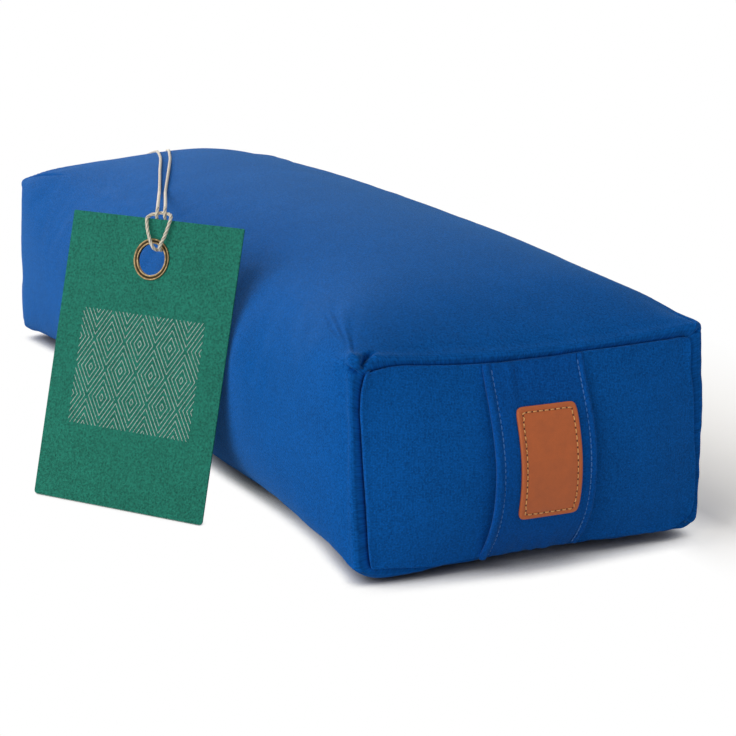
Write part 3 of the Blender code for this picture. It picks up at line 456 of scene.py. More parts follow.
def end_swell(w):
    """0 at an end's top and bottom seams and 1 a little below its mid height."""
    drop = (np.clip(1.0 - w, 0.0, 2.0) / 2) ** CROWN_DROOP
    return 4.0 * drop * (1.0 - drop)


def raw_form(u, v, w, side_inset=0.0, end_inset=0.0, on_end=False):
    """The stuffed form at points of the unit block, before the zip's flat strip."""
    s = settings("form")
    u, v, w = np.broadcast_arrays(*(np.asarray(x, float) for x in (u, v, w)))
    wide = swell(u, *WIDTH_SWELL)
    tall = swell(u, *HEIGHT_SWELL)
    half_width = (s.end_width + (s.middle_width - s.end_width) * wide) / 2 - side_inset
    end_top = s.end_lift + s.end_height
    top = end_top + (s.middle_height - end_top) * tall
    base = s.end_lift * (1.0 - tall) - s.base_dip
    widest = (base + top) / 2
    middle_power = np.where(w >= 0.0, MIDDLE_TOP_POWER, MIDDLE_BOTTOM_POWER)
    power = middle_power + (END_POWER - middle_power) * np.abs(u) ** SQUARING_POWER
    power = power + CORNER_POWER * np.abs(u) ** CORNER_RISE_POWER
    across, up = round_square(v, w, power)
    if on_end:
        inner = np.maximum(np.abs(v), np.abs(w)) ** 6
        across, up = v + (across - v) * inner, w + (up - w) * inner
    reach = np.where(up >= 0.0, top - widest, widest - base) - side_inset
    z = widest + reach * up
    z = z - s.seam_sag * np.abs(u) ** SQUARING_POWER * (1.0 - across ** 2) * np.maximum(up, 0.0)
    z = np.maximum(z, side_inset)
    x = u * (s.seam_length / 2 - end_inset)
    if on_end:
        crown = (1.0 - np.abs(v) ** CROWN_POWER) * end_swell(w)
        x = x + np.sign(u) * s.end_crown * crown
    return np.stack([x, half_width * across, z], -1)


def side_share(height, u=0.0):
    """The unit block's w at which the side has a given height, at each u."""
    u = np.asarray(u, float)
    low, high = np.full(u.shape, -1.0), np.full(u.shape, 1.0)
    for _ in range(30):
        middle = (low + high) / 2
        under = raw_form(u, 1.0, middle)[..., 2] < height
        low, high = np.where(under, middle, low), np.where(under, high, middle)
    return low


def zip_plane():
    """Where the flat strip of the zip lies across the bolster."""
    height = settings("trim").zip_height
    return float(raw_form(0.0, 1.0, side_share(height))[..., 1]) - ZIP_DENT


def form_points(u, v, w, side_inset=0.0, end_inset=0.0, zip_inset=None, on_end=False):
    """Points of the cushion's form, flattened where the zip is sewn in."""
    points = raw_form(u, v, w, side_inset, end_inset, on_end)
    if on_end:
        return points
    depth = side_inset if zip_inset is None else zip_inset
    points[..., 1] += (zip_plane() - depth - points[..., 1]) * zip_hold(points)
    return points


def zip_hold(points):
    """1 on the zip's flat strip, fading to 0 round it."""
    t = settings("trim")
    above = (np.abs(points[..., 2] - t.zip_height) - ZIP_FLAT_HALF_HEIGHT) / ZIP_FADE_HEIGHT
    along = (np.abs(points[..., 0]) - t.zip_half_length - ZIP_FLAT_MARGIN) / ZIP_FADE_LENGTH
    hold = smooth_step(1.0 - np.maximum(above, 0.0)) * smooth_step(1.0 - np.maximum(along, 0.0))
    return np.where(points[..., 1] > 0.0, hold, 0.0)


def ring_place(v, w):
    """Place round the unit block's cross-section, from 0 at the base's left corner to 8."""
    v, w = np.broadcast_arrays(v, w)
    on_base, on_right, on_top = (w <= -1.0) & (v < 1.0), (v >= 1.0) & (w < 1.0), (w >= 1.0) & (v > -1.0)
    return np.where(on_base, v + 1.0, np.where(on_right, w + 3.0, np.where(on_top, 5.0 - v, 7.0 - w)))


def hand_eased(points, u, v, w):
    """Points of the wrap moved out or in by the eased shape, clear of the zip's strip."""
    normal = normals_of(points)
    normal[..., 0] = 0.0
    normal = pointing_out(unit(normal), points)
    steady = np.flatnonzero(np.abs(u) <= STEADY_SHARE)
    normal[u > STEADY_SHARE], normal[u < -STEADY_SHARE] = normal[steady[-1]], normal[steady[0]]
    along = (2 * EASE_ALONG[0] - EASE_ALONG[1], *EASE_ALONG, 2 * EASE_ALONG[-1] - EASE_ALONG[-2])
    place = ring_place(*(np.broadcast_to(x, points.shape[:2]) for x in (v, w)))
    ease = np.zeros(place.shape)
    for row, (before, here, after) in enumerate(zip(along, along[1:], along[2:])):
        share = smooth_step(np.where(u < here, (u - before) / (here - before), (after - u) / (after - here)))
        if row == 0:
            share = np.where(u < here, 1.0, share)
        around = smooth_interpolation(place, (*EASE_AROUND, EASE_AROUND[0] + 8.0), (*EASE[row], EASE[row][0]))
        ease += share[:, None] * around
    return points + normal * (ease * MILLIMETRE * (1.0 - zip_hold(points)))[..., None]


def smooth_interpolation(at, stops, values):
    """Values between stops, eased so that they change smoothly."""
    stops, values = np.asarray(stops), np.asarray(values)
    k = np.clip(np.searchsorted(stops, at, side="right") - 1, 0, len(stops) - 2)
    share = smooth_step((at - stops[k]) / (stops[k + 1] - stops[k]))
    return values[k] + (values[k + 1] - values[k]) * share


def mouth_shift(side, v, w):
    """Move from the form's edge to where an end's seam really runs, fading into the end."""
    v, w = np.broadcast_arrays(np.asarray(v, float), np.asarray(w, float))
    reach = {}
    grid = np.linspace(-1.0, 1.0, 201)
    window = np.hanning(15) / np.hanning(15).sum()
    for edge, at in (("left", w), ("right", w), ("top", v), ("base", v)):
        line = np.interp(grid, *zip(*MOUTHS[side][edge]))
        line = np.convolve(np.pad(line, 7, mode="edge"), window, mode="valid")
        reach[edge] = np.interp(at, grid, line) * MILLIMETRE
    across = reach["left"] * np.maximum(-v, 0.0) ** 3 + reach["right"] * np.maximum(v, 0.0) ** 3
    up = reach["top"] * np.maximum(w, 0.0) ** 3 + reach["base"] * np.maximum(-w, 0.0) ** 3
    return np.stack([np.zeros_like(across), across, up], -1)


def ring_shares(wide_stops, tall_stops):
    """(v, w) round the unit block's cross-section: base, right side, top, left side."""
    v, w = np.asarray(wide_stops), np.asarray(tall_stops)
    one_w, one_v = np.ones(len(w) - 1), np.ones(len(v) - 1)
    ring_v = np.concatenate([v[:-1], one_w, v[:0:-1], -one_w])
    ring_w = np.concatenate([-one_v, w[:-1], one_v, w[:0:-1]])
    return ring_v, ring_w


def resample(values, old_stops, new_stops, period=None):
    """Smooth (Catmull-Rom) resampling of the first axis from old stops to new ones."""
    old, new = np.asarray(old_stops, float), np.asarray(new_stops, float)
    if period is not None:
        old = np.concatenate([old[-2:] - period, old, old[:3] + period])
        values = np.concatenate([values[-2:], values, values[:3]])
    else:
        old = np.concatenate([[2 * old[0] - old[1]], old, [2 * old[-1] - old[-2]]])
        values = np.concatenate([values[:1], values, values[-1:]])
    at = np.clip(np.searchsorted(old, new, side="right") - 1, 1, len(old) - 3)
    span = old[at + 1] - old[at]
    t = np.clip((new - old[at]) / span, 0.0, 1.0)
    t = t[:, None]
    p0, p1, p2, p3 = values[at - 1], values[at], values[at + 1], values[at + 2]
    return 0.5 * (
        2 * p1 + (p2 - p0) * t + (2 * p0 - 5 * p1 + 4 * p2 - p3) * t ** 2
        + (3 * p1 - p0 - 3 * p2 + p3) * t ** 3
    )


# ---- cloth settling ----

SIM_COLUMNS = 128
SIM_WIDE = 46
SIM_TALL = 30
FOLD_CAP = 0.003
CLOTH = {
    "quality": 6, "mass": 0.25, "tension_stiffness": 20.0, "compression_stiffness": 12.0,
    "shear_stiffness": 6.0, "bending_stiffness": 0.06, "use_pressure": True,
    "vertex_group_mass": "held", "vertex_group_shrink": "eased", "shrink_min": 0.0,
}
SETTLED = {}


def settle_cover():
    """Blow the closed cover up with cloth simulation and keep the folds that it gets."""
    s, t = settings("form"), settings("trim")
    u, v, w = (np.linspace(-1.0, 1.0, count + 1) for count in (SIM_COLUMNS, SIM_WIDE, SIM_TALL))
    ring_v, ring_w = ring_shares(v, w)
    ring = len(ring_v)
    grid_v, grid_w = np.meshgrid(v, w, indexing="ij")
    inner = (slice(1, -1), slice(1, -1))
    rim = (np.rint((ring_v + 1.0) / 2 * SIM_WIDE).astype(int), np.rint((ring_w + 1.0) / 2 * SIM_TALL).astype(int))
    wrap_count, end_count = len(u) * ring, (SIM_WIDE - 1) * (SIM_TALL - 1)
    firsts = (wrap_count, wrap_count + end_count)
    points = [form_points(u[:, None], ring_v[None, :], ring_w[None, :]).reshape(-1, 3)]
    faces = grid_faces(len(u), ring, closed_columns=True).tolist()
    for number, side in enumerate((-1.0, 1.0)):
        points.append(form_points(side, grid_v, grid_w, on_end=True)[inner].reshape(-1, 3))
        names = np.zeros(grid_v.shape, int)
        names[inner] = (firsts[number] + np.arange(end_count)).reshape(SIM_WIDE - 1, SIM_TALL - 1)
        names[rim] = number * SIM_COLUMNS * ring + np.arange(ring)
        quads = np.stack([names[:-1, :-1], names[1:, :-1], names[1:, 1:], names[:-1, 1:]], -1).reshape(-1, 4)
        faces += (quads if number else quads[:, ::-1]).tolist()
    start = np.concatenate(points)
    away = s.seam_length / 2 - np.abs(start[:, 0])
    on_wrap = np.arange(len(start)) < wrap_count
    edge = np.where(on_wrap, smooth_step(1.0 - away / 0.045), 0.0)
    gap_v, gap_w = (1.0 - np.abs(grid_v[inner])) * s.end_width / 2, (1.0 - np.abs(grid_w[inner])) * s.end_height / 2
    edge[wrap_count:] = np.tile(smooth_step(1.0 - np.minimum(gap_v, gap_w).ravel() / 0.035), 2)
    near_zip = (np.abs(start[:, 2] - t.zip_height) < ZIP_FLAT_HALF_HEIGHT) & (start[:, 1] > 0.0)
    near_zip &= np.abs(start[:, 0]) < t.zip_half_length + ZIP_FLAT_MARGIN / 2
    pinned = ((on_wrap & (away < 1e-6)) | near_zip | (start[:, 2] < 0.001)).astype(float)
    wobble = np.array([noise.noise(Vector(p) * 60.0) for p in start]) * 0.0004
    normal = outward(start, np.asarray(faces))
    shaken = start + normal * (wobble - 0.0015)[:, None] * (1.0 - pinned)[:, None]
    shift = np.einsum("ij,ij->i", run_cloth(shaken, faces, pinned, edge) - start, normal)
    SETTLED["wrap"] = (only_folds(shift[:wrap_count].reshape(len(u), ring), 40, True), u, np.arange(ring) / ring)
    for side, first in zip((-1.0, 1.0), firsts):
        field = np.zeros(grid_v.shape)
        field[inner] = shift[first : first + end_count].reshape(SIM_WIDE - 1, SIM_TALL - 1)
        SETTLED[side] = (only_folds(field, 30, False), v, w)


def outward(points, faces):
    """Unit normals at points, from their faces."""
    a, b, c, d = (points[faces[:, k]] for k in range(4))
    face_normal = np.cross(c - a, d - b)
    total = np.zeros_like(points)
    for k in range(4):
        np.add.at(total, faces[:, k], face_normal)
    return pointing_out(unit(total), points)


def run_cloth(points, faces, pinned, edge):
    """Settle one closed cloth under pressure and return its points."""
    c = settings("cloth")
    mesh = mesh_of("settling_cover", points, faces)
    turn_faces_out(mesh)
    piece = link_mesh("settling_cover", mesh)
    for name, weights in (("held", pinned), ("eased", edge)):
        group = piece.vertex_groups.new(name=name)
        for number in np.flatnonzero(weights):
            group.add([int(number)], float(weights[number]), "REPLACE")
    modifier = piece.modifiers.new("Settle", "CLOTH")
    for key, value in CLOTH.items():
        setattr(modifier.settings, key, value)
    modifier.settings.uniform_pressure_force = c.pressure
    modifier.settings.shrink_max = -c.gather
    modifier.settings.effector_weights.gravity = 0.0
    modifier.collision_settings.use_collision = False
    modifier.collision_settings.use_self_collision = False
    modifier.point_cache.frame_start = 1
    modifier.point_cache.frame_end = c.sim_frames
    scene = bpy.context.scene
    for number in range(1, c.sim_frames + 1):
        scene.frame_set(number)
    settled = piece.evaluated_get(bpy.context.evaluated_depsgraph_get()).data
    moved = np.zeros(len(points) * 3, np.float32)
    settled.vertices.foreach_get("co", moved)
    bpy.data.objects.remove(piece, do_unlink=True)
    scene.frame_set(1)
    return moved.reshape(-1, 3).astype(float)


def only_folds(field, passes, closed):
    """A settled field without its broad swelling, capped; its second axis may be closed."""
    broad = field
    for _ in range(passes):
        wide = np.pad(broad, ((0, 0), (1, 1)), mode="wrap" if closed else "edge")
        broad = (wide[:, :-2] + 2 * wide[:, 1:-1] + wide[:, 2:]) / 4
        tall = np.pad(broad, ((1, 1), (0, 0)), mode="edge")
        broad = (tall[:-2] + 2 * tall[1:-1] + tall[2:]) / 4
    return np.clip(field - broad, -FOLD_CAP, FOLD_CAP)


def settled_folds(panel, rows, columns, period=None):
    if not SETTLED:
        settle_cover()
    field, old_rows, old_columns = SETTLED[panel]
    return resample(resample(field, old_rows, rows).T, old_columns, columns, period).T


# ---- materials ----


class Nodes:
    """Short way to wire the nodes of a material, or of a world."""

    def __init__(self, name, world=None):
        self.owner = world or bpy.data.materials.new(name)
        self.owner.use_nodes = True
        self.tree = self.owner.node_tree
        self.shader = self.tree.nodes.get("Principled BSDF")

    def add(self, kind, inputs=None, **options):
        """A node, with its options and the values or links of its inputs."""
        node = self.tree.nodes.new(kind)
        for key, value in options.items():
            setattr(node, key, value)
        for key, value in (inputs or {}).items():
            self.put(node.inputs[key], value)
        return node

    def put(self, socket, value):
        """Link a socket, or set its value; a colour may come without its alpha."""
        if isinstance(value, bpy.types.NodeSocket):
            self.tree.links.new(value, socket)
        else:
            short = socket.type == "RGBA" and len(value) == 3
            socket.default_value = (*value, 1.0) if short else value

    def math(self, operation, *values, clamp=False):
        """A Math node's result."""
        inputs = dict(enumerate(values))
        return self.add("ShaderNodeMath", inputs, operation=operation, use_clamp=clamp).outputs[0]

    def sway(self, value, middle, amount, base):
        """A base value, raised or lowered as another stands over or under its middle."""
        return self.math("MULTIPLY_ADD", self.math("SUBTRACT", value, middle), amount, base)

    def mix(self, share, low, high):
        """A colour between two colours."""
        return self.add("ShaderNodeMix", {0: share, 6: low, 7: high}, data_type="RGBA").outputs[2]

    def shades(self, share, colour, low, high):
        """A colour between a darker and a lighter shade of one colour."""
        return self.mix(share, shade(colour, low), shade(colour, high))

    def place(self):
        """The piece's own coordinates."""
        return self.add("ShaderNodeTexCoord").outputs["Object"]

    def split(self, vector):
        """The three numbers of a vector."""
        return tuple(self.add("ShaderNodeSeparateXYZ", {0: vector}).outputs)

    def scaled(self, vector, factors):
        """A vector with each of its numbers multiplied."""
        return self.add("ShaderNodeVectorMath", {0: vector, 1: factors}, operation="MULTIPLY").outputs[0]

    def noise(self, vector, scale, detail=2.0, roughness=0.5):
        """Noise from 0 to 1 over a vector."""
        inputs = {"Vector": vector, "Scale": scale, "Detail": detail, "Roughness": roughness}
        return self.add("ShaderNodeTexNoise", inputs).outputs[0]

    def ramp(self, value, low, high, low_out=0.0, high_out=1.0):
        """A value mapped from one range to another, held at its ends."""
        inputs = {0: value, 1: low, 2: high, 3: low_out, 4: high_out}
        return self.add("ShaderNodeMapRange", inputs, clamp=True).outputs[0]

    def bump(self, height, distance, strength):
        """A bump from a height."""
        inputs = {"Strength": strength, "Distance": distance, "Height": height}
        return self.add("ShaderNodeBump", inputs).outputs[0]

    def shown(self):
        """1 for the rays that show the backdrop: camera, glossy and transmission rays."""
        path = self.add("ShaderNodeLightPath").outputs
        total = self.math("ADD", path["Is Camera Ray"], path["Is Glossy Ray"])
        return self.math("ADD", total, path["Is Transmission Ray"], clamp=True)

    def finish(self, colour, roughness, normal, **constants):
        """Wire colour, roughness and normal, and set the shader's constants."""
        for key, value in (("Base Color", colour), ("Roughness", roughness), ("Normal", normal)):
            self.put(self.shader.inputs[key], value)
        for key, value in constants.items():
            self.shader.inputs[key.replace("_", " ")].default_value = value
        return self.owner


def shade(colour, factor):
    """A colour made lighter or darker."""
    return tuple(min(x * factor, 1.0) for x in colour)


def plain_weave(nodes, column, row):
    """Height of a plain weave: warp and weft pass over and under each other."""
    over = nodes.math("PINGPONG", nodes.math("ADD", nodes.math("FLOOR", column), nodes.math("FLOOR", row)), 1.0)
    rounds = []
    for thread in (column, row):
        off = nodes.math("SUBTRACT", nodes.math("FRACT", thread), 0.5)
        rounds.append(nodes.math("MULTIPLY", nodes.math("MULTIPLY", off, off), 4.0))
    warp_round, weft_round = rounds
    warp = nodes.math("SUBTRACT", 1.0, nodes.math("MULTIPLY_ADD", weft_round, 0.45, warp_round))
    weft = nodes.math("SUBTRACT", 1.0, nodes.math("MULTIPLY_ADD", warp_round, 0.45, weft_round))
    top = nodes.add("ShaderNodeMix", {0: over, 2: warp, 3: weft}, data_type="FLOAT").outputs[0]
    return nodes.math("MAXIMUM", top, 0.0)


def random_tone(nodes, **inputs):
    """A random tone from 0 to 1 for each thread (W) or each crossing (Vector)."""
    kind = "1D" if "W" in inputs else "2D"
    return nodes.add("ShaderNodeTexWhiteNoise", inputs, noise_dimensions=kind).outputs["Value"]


def cotton(name, colour, pitch, streak=0.10, sheen=0.18):
    """Fine plain-weave cotton, flecked at its crossings, with short slubs and a soft sheen; its colour is also darkened
    in the weave's dips, as painted shade.
    """
    nodes = Nodes(name)
    vector = nodes.add("ShaderNodeUVMap", uv_map="weave").outputs[0]
    x, y, _ = nodes.split(vector)
    column, row = nodes.math("DIVIDE", x, pitch), nodes.math("DIVIDE", y, pitch)
    weave = plain_weave(nodes, column, row)
    warp, weft = nodes.math("FLOOR", column), nodes.math("FLOOR", row)
    crossing = nodes.add("ShaderNodeCombineXYZ", {0: warp, 1: weft}).outputs[0]
    speckle = nodes.noise(vector, 900.0, 2.0, 0.7)
    slub = nodes.noise(nodes.scaled(vector, (1.0, 0.10, 1.0)), 1300.0, 2.0, 0.6)
    cloud = nodes.noise(nodes.place(), 24.0, 4.0, 0.6)
    tone = nodes.math("MULTIPLY_ADD", random_tone(nodes, Vector=crossing), FLECK, 1.0 - FLECK / 2)
    # The weave's term paints shade: the colour darkens where the threads dip under each other
    for value, middle, amount in (
        (random_tone(nodes, W=warp), 0.5, streak), (random_tone(nodes, W=weft), 0.5, streak * 0.6),
        (speckle, 0.5, 1.15), (slub, 0.5, streak * 6.0), (cloud, 0.5, 0.30), (weave, 0.6, 0.28),
    ):
        tone = nodes.sway(value, middle, amount, tone)
    colours = nodes.shades(nodes.ramp(tone, 0.55, 1.45), colour, 0.55, 1.45)
    normal = nodes.bump(nodes.math("MULTIPLY_ADD", speckle, 0.5, weave), 0.00016, 0.8)
    return nodes.finish(
        colours, 0.90, normal, Sheen_Weight=sheen, Sheen_Roughness=0.32,
        Sheen_Tint=(0.34, 0.72, 1.0, 1.0), Specular_IOR_Level=0.06,
    )


def spun_thread(name, colour):
    """Sewing thread: twisted plies with a faint shine."""
    nodes = Nodes(name)
    fuzz = nodes.noise(nodes.place(), 2600.0, 2.0, 0.6)
    colours = nodes.shades(nodes.ramp(fuzz, 0.3, 0.7), colour, 0.70, 1.25)
    return nodes.finish(colours, 0.62, nodes.bump(fuzz, 0.00015, 0.7), Sheen_Weight=0.2)


def leather(name, colour):
    """Vegetable-tanned leather: fine grain, soft mottling, half matt."""
    nodes = Nodes(name)
    place = nodes.place()
    inputs = {"Vector": place, "Scale": 1500.0, "Randomness": 1.0}
    cells = nodes.add("ShaderNodeTexVoronoi", inputs, feature="DISTANCE_TO_EDGE").outputs[0]
    grain = nodes.ramp(cells, 0.0, 0.28)
    fine = nodes.noise(place, 3200.0, 3.0, 0.6)
    mottle = nodes.noise(place, 130.0, 4.0, 0.6)
    height = nodes.math("MULTIPLY_ADD", fine, 0.5, grain)
    colours = nodes.shades(nodes.ramp(nodes.sway(grain, 0.5, 0.25, mottle), 0.15, 0.85), colour, 0.88, 1.12)
    roughness = nodes.ramp(mottle, 0.2, 0.8, 0.46, 0.62)
    return nodes.finish(colours, roughness, nodes.bump(height, 0.00005, 0.7), Specular_IOR_Level=0.4)


def pebbled_card(name, colour, print_colour):
    """Green pebbled board with a plain lozenge print on its front; its colour follows the pebbles' height, as painted
    highlight on their tops and painted shade between them.
    """
    nodes = Nodes(name)
    place = nodes.place()
    pebble = nodes.noise(place, 760.0, 2.0, 0.5)
    fibre = nodes.noise(place, 40.0, 3.0, 0.6)
    worn = nodes.ramp(nodes.noise(place, 1500.0, 2.0, 0.6), 0.32, 0.52)
    ink = nodes.math("MULTIPLY", lozenge_print(nodes, *nodes.split(place)), worn)
    # Painted highlight and shade: the board is lighter where the pebbles stand up and darker between them
    board = nodes.shades(nodes.ramp(nodes.sway(pebble, 0.5, 4.5, fibre), -0.5, 1.5), colour, 0.66, 1.38)
    colours = nodes.mix(nodes.math("MULTIPLY", ink, 0.92), board, print_colour)
    relief = nodes.math("MULTIPLY_ADD", ink, 0.12, pebble)
    return nodes.finish(colours, 0.72, nodes.bump(relief, 0.0016, 1.0), Specular_IOR_Level=0.15)


def lozenge_print(nodes, x, y, z):
    """Mask of the card's print: a band of nested lozenges, on its front only."""
    wide, tall = LOZENGE / 2, LOZENGE * 0.8
    column = nodes.math("DIVIDE", nodes.math("PINGPONG", x, wide), wide)
    row = nodes.math("DIVIDE", nodes.math("PINGPONG", nodes.math("SUBTRACT", y, PRINT_FOOT), tall), tall)
    rings = nodes.math("FRACT", nodes.math("MULTIPLY", nodes.math("ADD", column, row), 4.0))
    mask = nodes.math("GREATER_THAN", z, 0.0003)
    for value, middle, reach in ((rings, 0.5, 0.09), (y, PRINT_MIDDLE, tall * 2), (x, 0.0, LOZENGE * 2)):
        off = nodes.math("ABSOLUTE", nodes.math("SUBTRACT", value, middle))
        mask = nodes.math("MULTIPLY", mask, nodes.math("LESS_THAN", off, reach))
    return mask


def aged_brass(name, colour, roughness=0.38, rims=()):
    """Darkened brass with worn, lighter patches; away from given rims it is painted nearly black, as painted shade in
    the eyelet's hollows.
    """
    nodes = Nodes(name)
    place = nodes.place()
    patina = nodes.noise(place, 420.0, 4.0, 0.65)
    scratch = nodes.noise(nodes.scaled(place, (1.0, 0.15, 1.0)), 900.0, 2.0, 0.5)
    colours = nodes.shades(nodes.ramp(patina, 0.35, 0.65), colour, 0.55, 1.50)
    # Painted shade: away from the bright rims the brass turns nearly black
    if rims:
        flat = nodes.scaled(place, (1.0, 1.0, 0.0))
        reach = nodes.add("ShaderNodeVectorMath", {0: flat}, operation="LENGTH").outputs["Value"]
        gaps = [nodes.math("ABSOLUTE", nodes.math("SUBTRACT", reach, rim)) for rim in rims]
        shade_away_from_rims = nodes.ramp(nodes.math("MINIMUM", *gaps), 0.0003, 0.0007)
        colours = nodes.mix(nodes.math("MULTIPLY", shade_away_from_rims, 0.95), colours, shade(colour, 0.06))
    rough = nodes.ramp(nodes.math("ADD", patina, scratch), 0.6, 1.4, roughness - 0.08, roughness + 0.2)
    return nodes.finish(colours, rough, nodes.bump(scratch, 0.00004, 0.5), Metallic=1.0)


def cotton_cord(name, colour):
    """Twisted cotton with fuzz; the grooves between its plies are painted darker along the twist, as shade."""
    nodes = Nodes(name)
    strand = nodes.add("ShaderNodeAttribute", attribute_name="strand").outputs["Vector"]
    fibre = nodes.noise(nodes.place(), 1800.0, 3.0, 0.65)
    twist = nodes.math("MULTIPLY", nodes.split(strand)[1], PLIES / 2)
    # Painted shade: the colour darkens into the grooves between the plies, in step with the cord's twisted shape
    groove = nodes.math("ABSOLUTE", nodes.math("COSINE", twist))
    colours = nodes.shades(nodes.ramp(nodes.sway(fibre, 0.5, 0.9, groove), 0.05, 0.95), colour, 0.44, 1.20)
    return nodes.finish(colours, 0.88, nodes.bump(fibre, 0.0003, 0.8), Sheen_Weight=0.3)


def moulded_plastic(name, colour):
    """Moulded zip teeth, faintly pitted."""
    nodes = Nodes(name)
    pits = nodes.noise(nodes.place(), 2400.0, 2.0, 0.5)
    colours = nodes.shades(nodes.ramp(pits, 0.3, 0.7), colour, 0.8, 1.2)
    return nodes.finish(colours, nodes.ramp(pits, 0.2, 0.8, 0.36, 0.5), nodes.bump(pits, 0.00003, 0.5))


def loose_husks(name, colour):
    """Dry husks: small shells in straw tones."""
    nodes = Nodes(name)
    place = nodes.place()
    shells = nodes.add("ShaderNodeTexVoronoi", {"Vector": place, "Scale": 190.0}).outputs["Distance"]
    tone = nodes.ramp(nodes.math("ADD", shells, nodes.noise(place, 300.0)), 0.3, 1.2)
    return nodes.finish(nodes.shades(tone, colour, 1.2, 0.5), 0.9, nodes.bump(shells, 0.002, 0.9))


# ---- camera ----


class BOLSTER_OT_place_camera(bpy.types.Operator):
    """Place the camera where the studio picture was taken from"""

    bl_idname = "bolster.place_camera"
    bl_label = "Place Camera"

    def execute(self, context):
        place, target = Vector(CAMERA_PLACE), Vector(CAMERA_TARGET)
        ahead = (target - place).normalized()
        right = ahead.cross(Vector((0.0, 0.0, 1.0))).normalized()
        up = right.cross(ahead)
        rolled_right = right * math.cos(CAMERA_ROLL) + up * math.sin(CAMERA_ROLL)
        rolled_up = up * math.cos(CAMERA_ROLL) - right * math.sin(CAMERA_ROLL)
        lens = bpy.data.cameras.new("studio_camera")
        lens.sensor_width = SENSOR_WIDTH
        lens.lens = SENSOR_WIDTH * FOCAL_PIXELS / PICTURE_PIXELS
        lens.clip_start = 0.05
        lens.clip_end = 60.0
        camera = bpy.data.objects.new("studio_camera", lens)
        turn = Matrix((rolled_right, rolled_up, -ahead)).transposed().to_4x4()
        camera.matrix_world = Matrix.Translation(place) @ turn
        context.scene.collection.objects.link(camera)
        context.scene.camera = camera
        return {"FINISHED"}


# ---- cord ----


def card_matrix():
    """The card's frame: origin at the middle of its foot, x across, y up, z to the front."""
    s = settings("card")
    across = Vector((math.cos(s.yaw), math.sin(s.yaw), 0.0))
    back = Vector((-math.sin(s.yaw), math.cos(s.yaw), 0.0))
    up = Vector((0.0, 0.0, math.cos(s.lean))) + back * math.sin(s.lean)
    front = across.cross(up)
    turn = Matrix((across, up, front)).transposed().to_4x4()
    turn.translation = (*CARD_FOOT, s.thickness / 2 * math.sin(s.lean))
    return turn


def cord_line():
    """The cord's centre, evenly spaced, with its sharpest bends rounded."""
    turn = card_matrix()
    route = [Vector(p) for p in CORD_OUT_ROUTE] + [turn @ Vector(p) for p in HITCH_ROUTE]
    line = even_spacing(spline_through(route + [Vector(p) for p in CORD_BACK_ROUTE], 8), 0.00075)
    for _ in range(10):
        line[1:-1] += (line[:-2] - 2 * line[1:-1] + line[2:]) / 4
    return line


def spline_through(route, steps):
    """Points of a centripetal spline through a route."""
    padded = [2 * route[0] - route[1], *route, 2 * route[-1] - route[-2]]
    line = [route[0]]
    for p0, p1, p2, p3 in zip(padded, padded[1:], padded[2:], padded[3:]):
        t1 = (p1 - p0).length ** 0.5
        t2 = t1 + (p2 - p1).length ** 0.5
        t3 = t2 + (p3 - p2).length ** 0.5
        for step in range(1, steps + 1):
            t = t1 + (t2 - t1) * step / steps
            a1 = p0.lerp(p1, t / t1)
            a2 = p1.lerp(p2, (t - t1) / (t2 - t1))
            a3 = p2.lerp(p3, (t - t2) / (t3 - t2))
            b1 = a1.lerp(a2, t / t2)
            b2 = a2.lerp(a3, (t - t1) / (t3 - t1))
            line.append(b1.lerp(b2, (t - t1) / (t2 - t1)))
    return np.array([tuple(p) for p in line])


def even_spacing(line, spacing):
    """Points at even spacing along a line, with its two ends."""
    gone = run_along(line)
    at = np.linspace(0.0, gone[-1], int(round(gone[-1] / spacing)) + 1)
    return at_distances(at, gone, line)


class BOLSTER_OT_tie_cord(bpy.types.Operator):
    """Lay the card's twisted cord along its route and knot it at the rear handle"""

    bl_idname = "bolster.tie_cord"
    bl_label = "Tie Cord"

    def execute(self, context):
        s = settings("card")
        material = cotton_cord("cream_cotton_cord", tuple(s.cord_colour))
        line = cord_line()
        turns = 2 * np.pi * run_along(line) / CORD_LAY
        cord = twisted_tube("card_cord", line, s.cord_diameter / 2 * 1.04, turns, 12, 0.24, material)
        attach(cord, "bolster")
        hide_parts("tag_cord")
        self.knot(s, material)
        return {"FINISHED"}

    def knot(self, s, material):
        """A small tied knot, as one closed loop of cord."""
        turn = full_turn(90)
        size = 0.00105
        loop = np.stack([
            size * (np.sin(turn) + 1.6 * np.sin(2 * turn)),
            size * (np.cos(turn) - 1.6 * np.cos(2 * turn)),
            -size * 1.1 * np.sin(3 * turn),
        ], 1)
        loop = loop[:, [2, 0, 1]] + np.array(KNOT_PLACE)
        radius = s.cord_diameter / 2
        knot = twisted_tube("card_cord_knot", loop, radius, 2 * turn, 10, 0.22, material, closed=True)
        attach(knot, "bolster")
        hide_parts("tag_cord_knot")


# ---- cover ----

# Distances from a seam, and from a corner, at which the cloth gets a line of points
SEAM_LINES = (
    0.0, 0.00010, 0.00028, 0.00055, 0.0009, 0.0013, 0.0018, 0.0024, 0.0031, 0.0038, 0.0045, 0.0052,
    0.0060, 0.0068, 0.0077, 0.0087, 0.0098, 0.0110, 0.0124, 0.0140, 0.0158, 0.0180, 0.0205,
)
CORNER_LINES = (*(0.0007 * k for k in range(15)), 0.0110, 0.0122, 0.0136, 0.0153, 0.0172)

# How deep the seams sink, and how wide the cloth rolls into them
SEAM_SINK = 0.0026
SEAM_ROLL = 0.0032
MOUTH_ROLL = 1.5
DEEPEST_FOLD = -0.0062


def sinking(distance, roll=SEAM_ROLL):
    """How far the cloth has sunk to its seam, from 1 on the seam to 0 past its roll."""
    near = np.clip(1.0 - distance / roll, 0.0, 1.0)
    return 1.0 - np.sqrt(np.clip(1.0 - near ** 2, 0.0, 1.0))


